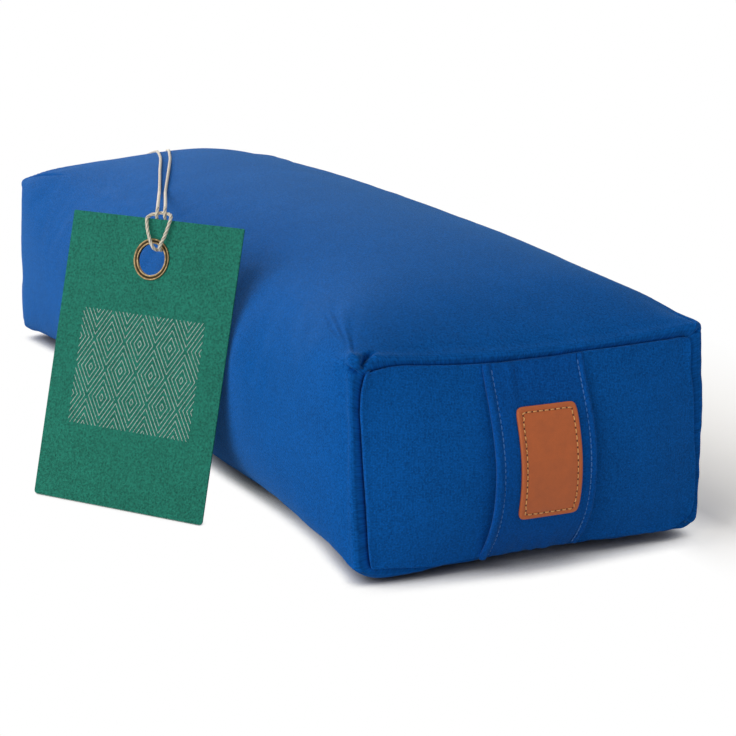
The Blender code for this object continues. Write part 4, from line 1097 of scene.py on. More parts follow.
def seam_sink(side, v, w):
    """Move that takes the form's sharp edge to the sunk seam line, for points of an end's rim."""
    reach = np.maximum(np.maximum(np.abs(v), np.abs(w)), 1e-9)
    v, w = v / reach, w / reach
    on_side = np.abs(v) >= np.abs(w)
    dv, dw = np.where(on_side, 0.0, 0.002), np.where(on_side, 0.002, 0.0)
    along = raw_form(side, v + dv, w + dw) - raw_form(side, v - dv, w - dw)
    out = unit(np.cross(along, (1.0, 0.0, 0.0)))
    outward_share = np.einsum("...k,...k->...", out, raw_form(side, v, w) - raw_form(side, 0.0, 0.0))
    out *= np.sign(outward_share)[..., None]
    out[..., 0] += side
    return -SEAM_SINK * out


def pucker(place, depth, reach, away, scale):
    """Small gathers along a seam that fade away from it."""
    ripple = np.array([noise.noise(Vector((p, 0.0, scale * 7.0)) * scale) for p in np.ravel(place)])
    ripple = ripple.reshape(np.shape(place))
    return depth * ripple * np.exp(-away / reach)


def wrap_stops():
    """Lines of points along the wrap, close together at the seams and at the zip's ends."""
    half = settings("form").seam_length / 2
    near = [1.0 - d / half for d in SEAM_LINES]
    window = (settings("trim").zip_half_length + WINDOW_MARGIN) / half
    middle = list(np.linspace(-near[-1], near[-1], 141))[1:-1]
    middle = [m for m in middle if abs(abs(m) - window) > 0.006]
    marks = [window + d for d in (-0.003, 0.0, 0.003)]
    return np.array(sorted({*near, *(-n for n in near), *middle, *marks, *(-m for m in marks)}))


def wrap_grid():
    """(u, v, w) over the wrap; on the zip's side two rows keep to the window's edges."""
    u = wrap_stops()
    t = settings("trim")
    wide = stops_from(CORNER_LINES, settings("form").end_width / 2, 87)
    tall = stops_from(CORNER_LINES, settings("form").end_height / 2, 49)
    ring_v, ring_w = ring_shares(wide, tall)
    grid_v = np.broadcast_to(ring_v, (len(u), len(ring_v))).copy()
    grid_w = np.broadcast_to(ring_w, (len(u), len(ring_w))).copy()
    middle = np.clip(u, -0.75, 0.75)
    low, high = (side_share(t.zip_height + off, middle) for off in (-WINDOW_HALF_HEIGHT, WINDOW_HALF_HEIGHT))
    low_rest = tall[np.argmin(abs(tall - low.mean()))]
    high_rest = tall[np.argmin(abs(tall - high.mean()))]
    right = slice(len(wide) - 1, len(wide) - 1 + len(tall) - 1)
    rest = ring_w[right]
    knots_old = [-1.0, low_rest, high_rest, 1.0]
    for number in range(len(u)):
        grid_w[number, right] = np.interp(rest, knots_old, [-1.0, low[number], high[number], 1.0])
    rows = [len(wide) - 1 + int(np.argmin(abs(tall - at_rest))) for at_rest in (low_rest, high_rest)]
    corners = {"right_top": len(wide) + len(tall) - 2, "left_top": 2 * len(wide) + len(tall) - 3}
    return u, grid_v, grid_w, rows, corners


def normals_of(points):
    """Normals of a grid of points whose second axis is closed."""
    return unit(np.cross(np.gradient(points, axis=0), np.roll(points, -1, 1) - np.roll(points, 1, 1)))


def hump(value, middle, width):
    """A soft hump round a middle."""
    return np.exp(-(((value - middle) / width) ** 2))


def crease(p, q, start, end, width):
    """A soft line between two places on the cloth."""
    (p0, q0), (p1, q1) = start, end
    run = (p1 - p0) ** 2 + (q1 - q0) ** 2
    t = np.clip(((p - p0) * (p1 - p0) + (q - q0) * (q1 - q0)) / run, 0.0, 1.0)
    gap = np.hypot(p - p0 - t * (p1 - p0), q - q0 - t * (q1 - q0))
    return np.exp(-((gap / width) ** 2))


def corner_folds(points, around, corner_columns):
    """How the wrap stands out and folds at the corners of its mouths, in metres along its normal."""
    half = settings("form").seam_length / 2
    lift = np.zeros(points.shape[:2])
    for side, corners in CORNER_SHAPES.items():
        rows = np.arange(len(points)) if side > 0 else np.arange(len(points))[::-1]
        steps = np.linalg.norm(np.diff(points[rows[::-1]], axis=0), axis=-1)
        gone = np.concatenate([np.zeros((1, points.shape[1])), np.cumsum(steps, 0)])
        p = np.empty_like(gone)
        p[rows[::-1]] = gone
        near = points[..., 0] * side > half * 0.6
        for corner, shapes in corners.items():
            q = around - around[:, corner_columns[corner]][:, None]
            if corner == "left_top":
                q = -q
            for kind, amount, *numbers in shapes:
                if kind == "ear":
                    middle_p, width_p, middle_q, width_q = numbers
                    lift += near * amount * hump(p, middle_p, width_p) * hump(q, middle_q, width_q)
                else:
                    lift += near * amount * crease(p, q, *numbers)
    return lift


# Ears and folds: amount, then place and width along the cloth from the seam (p) and from the
# corner towards the top (q)
CORNER_SHAPES = {
    1.0: {
        "left_top": (
            ("ear", 0.0030, 0.0070, 0.0050, 0.0010, 0.0040),
            ("ear", 0.0014, 0.0050, 0.0060, 0.0150, 0.0060),
            ("crease", -0.0070, (0.0000, -0.0030), (0.0092, 0.0125), 0.0012),
            ("crease", -0.0050, (0.0000, -0.0036), (0.0080, -0.0070), 0.0011),
        ),
        "right_top": (
            ("ear", 0.0012, 0.0060, 0.0050, 0.0010, 0.0060),
            ("crease", -0.0040, (0.0000, -0.0004), (0.0050, -0.0022), 0.0012),
        ),
    },
    -1.0: {
        "left_top": (("crease", -0.0040, (0.0050, 0.0060), (0.0150, 0.0480), 0.0030),),
        "right_top": (("ear", 0.0010, 0.0050, 0.0060, 0.0000, 0.0070),),
    },
}


class BOLSTER_OT_sew_cover(bpy.types.Operator):
    """Sew the wrap and the two end panels, with their seams, gathers and corners"""

    bl_idname = "bolster.sew_cover"
    bl_label = "Sew Cover"

    def execute(self, context):
        c = settings("cloth")
        wrap_cotton = cotton("blue_cotton_wrap", tuple(c.cover_colour), c.weave_pitch, streak=0.04)
        # The end panels get a copy of the cover's cotton made 6 % lighter: painted light for how the lamps fall on them
        painted_lighter_end_cotton = cotton("blue_cotton_end", shade(c.cover_colour, 1.06), c.weave_pitch, streak=0.07)
        self.wrap(wrap_cotton)
        self.end("end_panel_front", 1.0, painted_lighter_end_cotton)
        self.end("end_panel_rear", -1.0, painted_lighter_end_cotton)
        return {"FINISHED"}

    def wrap(self, material):
        """The panel round top, sides and base, with its window for the zip."""
        s, c = settings("form"), settings("cloth")
        u, v, w, window_rows, corners = wrap_grid()
        grid_u = np.broadcast_to(u[:, None], v.shape)
        plain = form_points(grid_u, v, w)
        points = hand_eased(plain, u, v, w)
        normal = pointing_out(normals_of(points), points)
        steps = np.linalg.norm(np.roll(points, -1, 1) - points, axis=-1)
        around = np.concatenate([np.zeros((len(u), 1)), np.cumsum(steps, 1)], 1)
        around = around / around[:, -1:] * around[:, -1].mean()
        away = s.seam_length / 2 * (1.0 - np.abs(grid_u))
        shift = settled_folds("wrap", u, np.linspace(0.0, 1.0, v.shape[1], endpoint=False), period=1.0)
        hand = np.sign(grid_u)
        small = pucker(around[:, :-1] + 3.0 * hand, c.pucker_depth, 0.009, away, 120.0)
        small += pucker(around[:, :-1] - 5.0 * hand, c.pucker_depth * 1.6, 0.022, away, 42.0)
        small *= smooth_step(points[..., 2] / 0.006)
        folds = corner_folds(points, around[:, :-1], corners)
        rise = (shift + small + folds) * smooth_step(away / 0.0012)
        gap = np.zeros(points.shape)
        for side, row in ((1.0, -1), (-1.0, 0)):
            gap[np.sign(u) == side] = mouth_shift(side, v[row], w[row]) - (points[row] - plain[row])
        points = points + normal * np.maximum(rise, DEEPEST_FOLD)[..., None]
        points += gap * sinking(away, np.maximum(SEAM_ROLL, MOUTH_ROLL * np.linalg.norm(gap, axis=-1)))[..., None]
        points += seam_sink(hand, v, w) * sinking(away)[..., None]
        points[..., 2] = np.maximum(points[..., 2], 0.0)
        rows, columns = v.shape
        faces = grid_faces(rows, columns, closed_columns=True)
        uv = grid_uv(around, np.broadcast_to((u * s.seam_length / 2)[:, None], around.shape))
        low, high = window_rows
        reach = (settings("trim").zip_half_length + WINDOW_MARGIN) / (s.seam_length / 2) + 1e-6
        face_row, face_column = np.divmod(np.arange(len(faces)), columns)
        gone = (face_column >= low) & (face_column < high)
        gone &= (np.abs(u[face_row]) <= reach) & (np.abs(u[face_row + 1]) <= reach)
        mesh = mesh_of("cover_wrap", points, faces[~gone], uv[~gone])
        wrap = link_mesh("cover_wrap", mesh, material)
        self.face_out(wrap)
        add_thickness(wrap, s.cloth_thickness)
        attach(wrap, "bolster")
        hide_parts("wrap_panel")

    def end(self, node, side, material):
        """A crowned end panel that turns in at its seam."""
        s, c = settings("form"), settings("cloth")
        half_v, half_w = s.end_width / 2, s.end_height / 2
        v, w = stops_from(SEAM_LINES, half_v, 58), stops_from(SEAM_LINES, half_w, 34)
        grid_v, grid_w = np.meshgrid(v, w, indexing="ij")
        points = form_points(side, grid_v, grid_w, on_end=True)
        gap_v, gap_w = (1.0 - np.abs(grid_v)) * half_v, (1.0 - np.abs(grid_w)) * half_w
        away = np.minimum(gap_v, gap_w)
        shift = settled_folds(side, v, w)
        around = np.where(gap_v < gap_w, grid_w * half_w, grid_v * half_v)
        small = pucker(around + 2.0 * side, c.pucker_depth * 0.6, 0.008, away, 120.0)
        small += pucker(around - 4.0 * side, c.pucker_depth * 1.2, 0.018, away, 45.0)
        points[..., 0] += side * (shift + small) * smooth_step(away / 0.0015)
        points += mouth_shift(side, grid_v, grid_w)
        points += seam_sink(side, grid_v, grid_w) * sinking(away)[..., None]
        uv = grid_uv(points[..., 1], points[..., 2])[..., ::-1]
        mesh = mesh_of("cover_" + node, points, grid_faces(*grid_v.shape), uv)
        panel = link_mesh("cover_" + node, mesh, material)
        self.face_out(panel, side)
        add_thickness(panel, s.cloth_thickness)
        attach(panel, "bolster")
        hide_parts(node)

    def face_out(self, piece, side=None):
        """Turn every face outward."""
        mesh = piece.data
        centre, normal = np.zeros((2, len(mesh.polygons) * 3), np.float32)
        mesh.polygons.foreach_get("center", centre)
        mesh.polygons.foreach_get("normal", normal)
        centre, normal = centre.reshape(-1, 3), normal.reshape(-1, 3)
        away = centre - np.array(MIDDLE_PLACE) if side is None else np.array((side, 0.0, 0.0))
        if np.sum(normal * away) < 0.0:
            mesh.flip_normals()


def stops_from(near, half, middle_count):
    """Shares from -1 to 1, close together at both seams."""
    edge = [1.0 - d / half for d in near]
    middle = list(np.linspace(-edge[-1], edge[-1], middle_count))[1:-1]
    return np.array(sorted({*edge, *(-e for e in edge), *middle}))


# ---- handles ----

STITCH_LENGTH = 0.0031
STITCH_PITCH = 0.0036


def band_base(side, y, w):
    """A band's inner face: clear of the end panel, and slack where that swells."""
    s, t = settings("form"), settings("trim")
    inset = s.cloth_thickness + LAYER_GAP
    v = y / (s.end_width / 2 - inset)
    points = form_points(side, v, w, inset, PANEL_SETBACK, on_end=True)
    points[..., 0] += side * (LAYER_GAP + t.band_slack * end_swell(w))
    return points + mouth_shift(side, v, w)


def band_points(side, y, w, rise):
    """Points at a rise above a band's inner face, along its normal."""
    y, w, rise = np.broadcast_arrays(*(np.asarray(x, float) for x in (y, w, rise)))
    here = band_base(side, y, w)
    slope = band_base(side, y, w + 0.01) - band_base(side, y, w - 0.01)
    normal = unit(np.cross((0.0, 1.0, 0.0), slope))
    return here + normal * np.sign(normal[..., :1] * side) * rise[..., None]


# A hem's section: (distance from the band's edge, height as a share of its thickness). The hem on
# the right is narrower
HEM = (
    (0.0, 0.70), (0.00008, 1.00), (0.0003, 1.20), (0.0008, 1.32), (0.0016, 1.40), (0.0028, 1.40), (0.0038, 1.28),
    (0.0046, 1.08), (0.0052, 0.82), (0.0055, 0.66), (0.0058, 0.78), (0.0064, 0.94), (0.0074, 1.00), (0.0090, 0.96),
)
RIGHT_HEM = 0.68


def band_profile():
    """One turn round a band's section: (offset from its middle, rise, 1 on the outer face)."""
    t = settings("trim")
    half, thick, hem = t.band_width / 2, t.band_thickness, HEM[-1][0]
    outer = [(d - half, thick * h, 1.0) for d, h in HEM]
    flat = 2 * half - hem * (1 + RIGHT_HEM)
    outer += [(hem - half + flat * k / 24, thick * 0.94, 1.0) for k in range(1, 24)]
    outer += [(half - d * RIGHT_HEM, thick * h, 1.0) for d, h in reversed(HEM)]
    inner = [(half * (1 - k / 10) * 0.995, 0.0001, 0.0) for k in range(21)]
    return np.array(outer + inner)


def band_wrinkles(y, w):
    """Creases of a band: one short fold under the top seam and some at its foot."""
    across = y + 0.004 * (1 - w)
    fold = 0.0009 * hump(across, -0.0150, 0.0022) - 0.0006 * hump(across, -0.0108, 0.0026)
    foot = smooth_step((-w - 0.62) / 0.3) * 0.0004 * np.sin(y * 620.0 + 1.3 * np.sin(y * 170.0))
    soft = 0.0004 * np.sin(y * 150.0 + w * 3.1) * np.cos(w * 4.0 + 1.0)
    return fold * smooth_step((w - 0.45) / 0.4) + foot + soft


def end_caps(rows, columns):
    """Faces that close both ends of a tube of grid_faces."""
    return [list(range(columns)), [(rows - 1) * columns + k for k in range(columns)]]


class BOLSTER_OT_sew_handles(bpy.types.Operator):
    """Sew both handle bands and their rows of topstitching"""

    bl_idname = "bolster.sew_handles"
    bl_label = "Sew Handles"

    def execute(self, context):
        c = settings("cloth")
        material = cotton("blue_cotton_band", tuple(c.band_colour), c.weave_pitch, streak=0.07)
        thread = spun_thread("blue_sewing_thread", tuple(c.thread_colour))
        for end, side in (("front", 1.0), ("rear", -1.0)):
            self.band(end, side, material)
            for hand, sign in (("left", -1.0), ("right", 1.0)):
                self.topstitch(end, side, hand, sign, thread)
        return {"FINISHED"}

    def band(self, end, side, material):
        """A folded band whose ends go into the seams."""
        offset, height, outer = band_profile().T
        near_seam = np.linspace(0.90, 0.992, 10)
        w = np.concatenate([-near_seam[:0:-1], np.linspace(-0.90, 0.90, 84), near_seam[1:]])[:, None]
        rise = height + band_wrinkles(offset * side, w) * outer
        points = band_points(side, settings("trim").band_shift + offset, w, rise)
        rows, columns = rise.shape
        along = run_along(points[:, 0])
        edge = run_along(np.stack([np.r_[offset, offset[:1]], np.r_[height, height[:1]]], 1))
        grid = (rows, columns + 1)
        uv = grid_uv(np.broadcast_to(along[:, None], grid), np.broadcast_to(edge, grid)).reshape(-1, 2)
        cap_uv = [np.stack([edge[:-1], np.full(columns, along[row])], 1) for row in (0, -1)]
        faces = grid_faces(rows, columns, closed_columns=True).tolist() + end_caps(rows, columns)
        mesh = mesh_of(f"handle_band_{end}", points, faces, np.concatenate([uv, *cap_uv]))
        turn_faces_out(mesh)
        band = link_mesh(f"handle_band_{end}", mesh, material)
        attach(band, "bolster")
        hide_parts(f"handle_{end}")

    def topstitch(self, end, side, hand, sign, thread):
        """A row of separate stitches along a band's hem."""
        t = settings("trim")
        y = t.band_shift + sign * (t.band_width / 2 - t.stitch_inset * (1.0 if sign < 0 else RIGHT_HEM))
        w = np.linspace(-0.975, 0.975, 400)
        line = band_points(side, y, w, t.band_thickness * 0.72)
        rise = band_points(side, y, w, t.band_thickness * 0.72 + MILLIMETRE) - line
        starts = np.arange(0.0006, run_along(line)[-1] - STITCH_LENGTH, STITCH_PITCH)
        lift = (-0.28, 0.06, 0.22, 0.26, 0.22, 0.06, -0.28)
        name = f"band_topstitch_{end}_{hand}"
        row = stitch_row(name, line, rise, starts, (0.0, STITCH_LENGTH), lift, t.thread_radius * 1.1, thread)
        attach(row, "bolster")
        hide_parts(f"handle_{end}_topstitch_{hand}")


# ---- leather patch ----

PATCH_SHIFT = 0.0023
PATCH_DROP = 0.0018
PATCH_POWER = 14.0
PATCH_STITCH_INSET = 0.0032
PATCH_STITCHES = 49
PATCH_LEVEL = 0.86

# The leather's section: (distance in from its edge, height as a share of its thickness), then rings
# over its flat middle, as shares of the last ring's reach
PATCH_SECTION = (
    (0.0, 0.0), (0.0, 0.35), (0.0, 0.72), (0.00012, 0.86), (0.00032, 0.95), (0.0006, 1.02), (0.0010, 1.07),
    (0.0014, 1.09), (0.0019, 1.05), (0.0024, 0.98), (0.0027, 0.91), (0.0030, 0.86), (0.0032, 0.84),
    (0.0034, 0.86), (0.0037, 0.90), (0.0042, 0.95), (0.0052, 0.98), (0.0070, 1.00),
)
PATCH_MIDDLE = (0.84, 0.66, 0.48, 0.30, 0.12)


def patch_points(a, b, rise):
    """Points over the patch, given as shares of its half width and half height."""
    s, t = settings("form"), settings("trim")
    across, up = round_square(a, b, PATCH_POWER)
    y = t.band_shift + PATCH_SHIFT + across * t.patch_width / 2
    height = up * t.patch_height / 2 - PATCH_DROP
    seam_height = s.end_height / 2 - s.cloth_thickness - LAYER_GAP
    w = height / np.where(height > 0.0, seam_height - s.seam_sag, seam_height)
    return band_points(1.0, y, w, t.band_thickness + rise)


def patch_ring(turns, inset, rise, spread=1.0):
    """A line round the patch at a distance in from its edge."""
    t = settings("trim")
    a, b = np.cos(turns), np.sin(turns)
    reach = np.maximum(abs(a), abs(b)) / spread
    a, b = a / reach * (1.0 - 2 * inset / t.patch_width), b / reach * (1.0 - 2 * inset / t.patch_height)
    return patch_points(a, b, LAYER_GAP + rise)


class BOLSTER_OT_sew_patch(bpy.types.Operator):
    """Sew the bare leather patch on the front handle, with its row of stitches"""

    bl_idname = "bolster.sew_patch"
    bl_label = "Sew Patch"

    def execute(self, context):
        t = settings("trim")
        hide = leather("tan_leather", tuple(t.leather_colour))
        rings = [(inset, share, 1.0) for inset, share in PATCH_SECTION]
        rings += [(*PATCH_SECTION[-1], spread) for spread in PATCH_MIDDLE]
        turns = full_turn(160)
        thick = t.patch_thickness
        points = np.array([patch_ring(turns, inset, thick * share, spread) for inset, share, spread in rings])
        rows, columns = points.shape[:2]
        centre, back = (patch_points(0.0, 0.0, LAYER_GAP + rise) for rise in (thick, 0.0))
        faces = grid_faces(rows, columns, closed_columns=True).tolist()
        middle, behind = rows * columns, rows * columns + 1
        last = (rows - 1) * columns
        faces += [[last + k, middle, last + (k + 1) % columns] for k in range(columns)]
        faces += [[(k + 1) % columns, behind, k] for k in range(columns)]
        mesh = mesh_of("leather_patch_hide", np.concatenate([points.reshape(-1, 3), [centre, back]]), faces)
        turn_faces_out(mesh)
        patch = link_mesh("leather_patch_hide", mesh, hide)
        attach(patch, "bolster")
        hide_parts("leather_patch")
        self.stitches(t)
        return {"FINISHED"}

    def stitches(self, t):
        """Cream stitches round the patch, each between two pricked holes, which are dark discs of painted shade."""
        turns = np.linspace(0.0, 2 * np.pi, 1441)
        level = t.patch_thickness * PATCH_LEVEL
        line = patch_ring(turns, PATCH_STITCH_INSET, level)
        rise = patch_ring(turns, PATCH_STITCH_INSET, level + MILLIMETRE) - line
        gone = run_along(line)
        pitch = gone[-1] / PATCH_STITCHES
        starts = np.arange(PATCH_STITCHES) * pitch
        lift = (-0.25, 0.14, 0.34, 0.38, 0.34, 0.14, -0.25)
        thread = spun_thread("waxed_cream_thread", tuple(t.patch_thread_colour))
        span, radius = (0.14 * pitch, 0.86 * pitch), t.thread_radius * 1.05
        row = stitch_row("patch_stitches", line, rise, starts, span, lift, radius, thread)
        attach(row, "bolster")
        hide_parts("leather_patch_stitching")
        # Painted shade: a disc of dark leather sits in each pricked hole
        painted_shade = leather("pricked_hole_shade", shade(t.leather_colour, 0.22))
        places = zip(at_distances(starts, gone, line), at_distances(starts, gone, rise))
        shade_discs = join_meshes("patch_stitch_hole_shade_discs", [hole_shade_part(place, up) for place, up in places], painted_shade)
        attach(shade_discs, "bolster")


def hole_shade_part(place, up, radius=0.00056, sides=10):
    """A small closed disc, painted dark as the shade inside a pricked hole."""
    up = unit(up)
    side = unit(np.cross(up, (0.0, 0.0, 1.0)))
    around = full_turn(sides)[:, None]
    ring = (np.cos(around) * side + np.sin(around) * np.cross(up, side)) * radius
    faces = [list(range(sides)), list(range(2 * sides - 1, sides - 1, -1))]
    faces += [[k, sides + k, sides + (k + 1) % sides, (k + 1) % sides] for k in range(sides)]
    return np.concatenate([place + ring + up * 0.00012, place + ring * 1.05 - up * 0.0003]), faces


# ---- zip ----

RIB_HEIGHT = 0.00012
RIB_PITCH = 0.0014
TOOTH_PITCH = 0.0020


class BOLSTER_OT_sew_zip(bpy.types.Operator):
    """Fit the zip: tapes, teeth, stops, slider and puller"""

    bl_idname = "bolster.sew_zip"
    bl_label = "Sew Zip"

    def execute(self, context):
        c = settings("cloth")
        tape = cotton("zip_tape_twill", shade(c.cover_colour, 0.55), 0.0006, streak=0.2)
        for row in ("upper", "lower"):
            self.tape(row, tape)
            self.teeth(row, moulded_plastic(f"zip_teeth_{row}_plastic", shade(c.cover_colour, 0.6)))
        metal = aged_brass("zip_metal", (0.32, 0.30, 0.27), 0.30)
        for node in ("zip_top_stop_upper", "zip_top_stop_lower", "zip_bottom_stop", "zip_slider", "zip_puller"):
            wear(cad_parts[node], metal)
        return {"FINISHED"}

    def tape(self, row, material):
        """A flat woven strip with a ribbed edge."""
        low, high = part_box(f"zip_tape_{row}")
        x, z = np.linspace(low.x, high.x, 60), np.linspace(low.z, high.z, 22)
        rib = RIB_HEIGHT * np.sin((z - low.z) * 2 * np.pi / RIB_PITCH)
        section = np.stack([np.r_[high.y + rib, np.full_like(z, low.y)], np.r_[z, z[::-1]]], 1)
        rows, columns = len(x), len(section)
        points = np.empty((rows, columns, 3))
        points[..., 0], points[..., 1:] = x[:, None], section
        edge = np.r_[section[:, 1], section[:1, 1]]
        grid = (rows, columns + 1)
        uv = grid_uv(np.broadcast_to(edge, grid), np.broadcast_to(x[:, None], grid)).reshape(-1, 2)
        cap_uv = [np.stack([np.full(columns, x[end]), section[:, 1]], 1) for end in (0, -1)]
        faces = grid_faces(rows, columns, closed_columns=True).tolist() + end_caps(rows, columns)
        mesh = mesh_of(f"zip_woven_tape_{row}", points, faces, np.concatenate([uv, *cap_uv]), smooth=False)
        turn_faces_out(mesh)
        strip = link_mesh(f"zip_woven_tape_{row}", mesh, material)
        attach(strip, "bolster")
        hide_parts(f"zip_tape_{row}")

    def teeth(self, row, material):
        """Separate moulded teeth on a cord, in the space of the comb."""
        low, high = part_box(f"zip_teeth_{row}")
        hand = 1.0 if row == "upper" else -1.0
        size, middle = high - low, (low + high) / 2
        parts = []
        for number in range(int(round(size.x / TOOTH_PITCH))):
            centre = (low.x + TOOTH_PITCH * (number + 0.5), middle.y, middle.z)
            parts.append(tooth_part(centre, (TOOTH_PITCH * 0.62, size.y, size.z)))
        core = (size.x, size.y * 0.45, size.z * 0.4)
        parts.append(tooth_part((middle.x, middle.y, middle.z + hand * core[2] * 0.6), core))
        teeth = join_meshes(f"zip_moulded_teeth_{row}", parts, material)
        teeth.data.shade_flat()
        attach(teeth, "bolster")
        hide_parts(f"zip_teeth_{row}")


def tooth_part(centre, size):
    """A tooth: a block with its edges cut back."""
    x, y, z = np.array(size) / 2
    cut = min(x, y, z) * 0.35
    ring = [(cut - x, -z), (x - cut, -z), (x, cut - z), (x, z - cut)]
    ring += [(-a, -b) for a, b in ring]
    layers = [(-y, 0.8), (cut - y, 1.0), (y - cut, 1.0), (y, 0.8)]
    points = [(a * share, depth, b * share) for depth, share in layers for a, b in ring]
    faces = grid_faces(4, 8, closed_columns=True).tolist()
    return np.array(points) + centre, faces + [list(range(8)), list(range(31, 23, -1))]


def wear(node, material):
    """Give a carried-over part a material of its own."""
    node.data.materials.clear()
    node.data.materials.append(material)


# ---- filling ----


class BOLSTER_OT_fill_cover(bpy.types.Operator):
    """Put in the cotton bag and its spelt husks"""

    bl_idname = "bolster.fill_cover"
    bl_label = "Fill Cover"

    def execute(self, context):
        s = settings("form")
        layer = s.cloth_thickness + 0.0004
        bag = cotton("unbleached_cotton", (0.60, 0.54, 0.42), 0.0008, sheen=0.1)
        self.closed("husk_bag", "inner_bag", (layer + 0.0060, 0.0080, 0.0110), bag, "natural_cotton", 0.0)
        husks = loose_husks("spelt_husks_loose", (0.52, 0.36, 0.17))
        insets = (layer + 0.0072, 0.0104, 0.0122)
        self.closed("husk_filling", "spelt_husk_fill", insets, husks, "spelt_husks", 0.0004)
        return {"FINISHED"}

    def closed(self, name, node, insets, material, slot_name, rough):
        """A closed swollen body inside the cover; insets are at its sides, ends and zip."""
        u, v, w = (np.linspace(-1.0, 1.0, count) for count in (61, 25, 17))
        bm = bmesh.new()
        layer = bm.loops.layers.uv.new("weave")
        found = {}

        def add_face(corners):
            """A face from (place in the unit block, point, cloth coordinates) of its corners."""
            verts = []
            for share, point, _ in corners:
                key = tuple(round(float(number), 6) for number in share)
                if key not in found:
                    found[key] = bm.verts.new(point)
                verts.append(found[key])
            for loop, (_, _, uv) in zip(bm.faces.new(verts).loops, corners):
                loop[layer].uv = uv

        ring_v, ring_w = ring_shares(v, w)
        ring = len(ring_v)
        wrap = form_points(u[:, None], ring_v[None, :], ring_w[None, :], *insets)
        eased = hand_eased(wrap, u, ring_v[None, :], ring_w[None, :])
        wrap[1:-1] = eased[1:-1]
        for r, k in np.ndindex(len(u) - 1, ring):
            corners = []
            for a, b in ((r, k), (r + 1, k), (r + 1, k + 1), (r, k + 1)):
                c = b % ring
                corners.append(((u[a], ring_v[c], ring_w[c]), wrap[a, c], (u[a] * 0.34, b * 0.008)))
            add_face(corners)
        grid_v, grid_w = np.meshgrid(v, w, indexing="ij")
        for side in (-1.0, 1.0):
            end = form_points(side, grid_v, grid_w, *insets[:2], on_end=True)
            for i, j in np.ndindex(len(v) - 1, len(w) - 1):
                quad = [(i, j), (i + 1, j), (i + 1, j + 1), (i, j + 1)]
                add_face([((side, v[a], w[b]), end[a, b], end[a, b][1:]) for a, b in quad])
        bmesh.ops.recalc_face_normals(bm, faces=bm.faces)
        bm.normal_update()
        if rough:
            for vertex in bm.verts:
                vertex.co -= vertex.normal * rough * (1.0 + noise.noise(vertex.co * 300.0))
        mesh = bpy.data.meshes.new(name)
        bm.to_mesh(mesh)
        bm.free()
        mesh.shade_smooth()
        body = link_mesh(name, mesh, material)
        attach(body, "bolster")
        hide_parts(node)


# ---- swing card ----


def flat_board(name, loops, thickness, rounding, material):
    """A flat board from closed outlines, the inner ones holes, with rounded edges."""
    curve = bpy.data.curves.new(name, "CURVE")
    curve.dimensions = "2D"
    curve.fill_mode = "BOTH"
    curve.extrude = thickness / 2 - rounding
    curve.bevel_depth = rounding
    curve.bevel_resolution = 2
    curve.offset = -rounding
    for loop in loops:
        spline = curve.splines.new("POLY")
        spline.points.add(len(loop) - 1)
        for corner, (x, y) in zip(spline.points, loop):
            corner.co = (x, y, 0.0, 1.0)
        spline.use_cyclic_u = True
    piece = bpy.data.objects.new(name, curve)
    bpy.context.scene.collection.objects.link(piece)
    graph = bpy.context.evaluated_depsgraph_get()
    mesh = bpy.data.meshes.new_from_object(piece.evaluated_get(graph))
    bpy.data.objects.remove(piece, do_unlink=True)
    turn_faces_out(mesh, weld=0.000005)
    mesh.name = name
    mesh.materials.clear()
    return link_mesh(name, mesh, material)


def rounded_outline(width, height, foot, head, steps=8):
    """A rectangle on y = 0, anticlockwise, its corners round at the foot and sharper at the head."""
    low, high, points = width / 2 - foot, width / 2 - head, []
    corners = ((-low, foot, foot), (low, foot, foot), (high, height - head, head), (-high, height - head, head))
    for quarter, (cx, cy, radius) in enumerate(corners):
        for step in range(steps + 1):
            turn = math.pi * (1.0 + quarter / 2 + step / steps / 2)
            points.append((cx + radius * math.cos(turn), cy + radius * math.sin(turn)))
    return points


def turned(name, profile, steps, material):
    """A ring turned about its own Z from a closed profile of radius and height."""
    around = full_turn(steps)[:, None]
    radius, height = np.array(profile).T
    points = np.stack([np.cos(around) * radius, np.sin(around) * radius, height + 0.0 * around], -1)
    mesh = mesh_of(name, points, grid_faces(steps, len(profile), closed_rows=True, closed_columns=True))
    turn_faces_out(mesh)
    return link_mesh(name, mesh, material)


class BOLSTER_OT_hang_card(bpy.types.Operator):
    """Lean the printed swing card on the cover, with its eyelet"""

    bl_idname = "bolster.hang_card"
    bl_label = "Hang Card"

    def execute(self, context):
        s = settings("card")
        board = pebbled_card("green_pebbled_card", tuple(s.board_colour), tuple(s.print_colour))
        hole_y = s.height - EYELET_DROP
        hole = [(EYELET_HOLE * math.cos(a), hole_y + EYELET_HOLE * math.sin(a)) for a in full_turn(64)]
        outline = rounded_outline(s.width, s.height, s.corner, s.corner / 3)
        card = flat_board("swing_card", [outline, hole], s.thickness, 0.0002, board)
        card.matrix_world = card_matrix()
        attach(card, "bolster")
        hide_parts("tag_card")
        brass = aged_brass("antique_brass", tuple(s.brass_colour), rims=EYELET_RIMS)
        eyelet = turned("card_eyelet", self.section(), 72, brass)
        eyelet.matrix_world = card_matrix() @ Matrix.Translation((0.0, hole_y, 0.0))
        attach(eyelet, "bolster")
        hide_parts("tag_eyelet", "tag_eyelet_washer")
        return {"FINISHED"}

    def section(self):
        """The eyelet's rolled front rim, barrel and set rear rim."""
        points = [
            (0.0102, 0.00055), (0.0102, 0.00100), (0.0104, 0.00130), (0.0107, 0.00142), (0.0110, 0.00134),
            (0.0113, 0.00112), (0.0116, 0.00098), (0.0120, 0.00096), (0.0124, 0.00108), (0.0127, 0.00138),
            (0.0130, 0.00160), (0.0133, 0.00150), (0.0135, 0.00115), (0.0136, 0.00070), (0.0136, 0.00055),
            (0.0108, 0.00055), (0.0108, -0.00055),
        ]
        for step in range(9):
            turn = math.pi * step / 8
            points.append((0.01185 + 0.00165 * math.cos(turn), -0.00055 - 0.0008 * math.sin(turn)))
        return points


# ---- stage ----


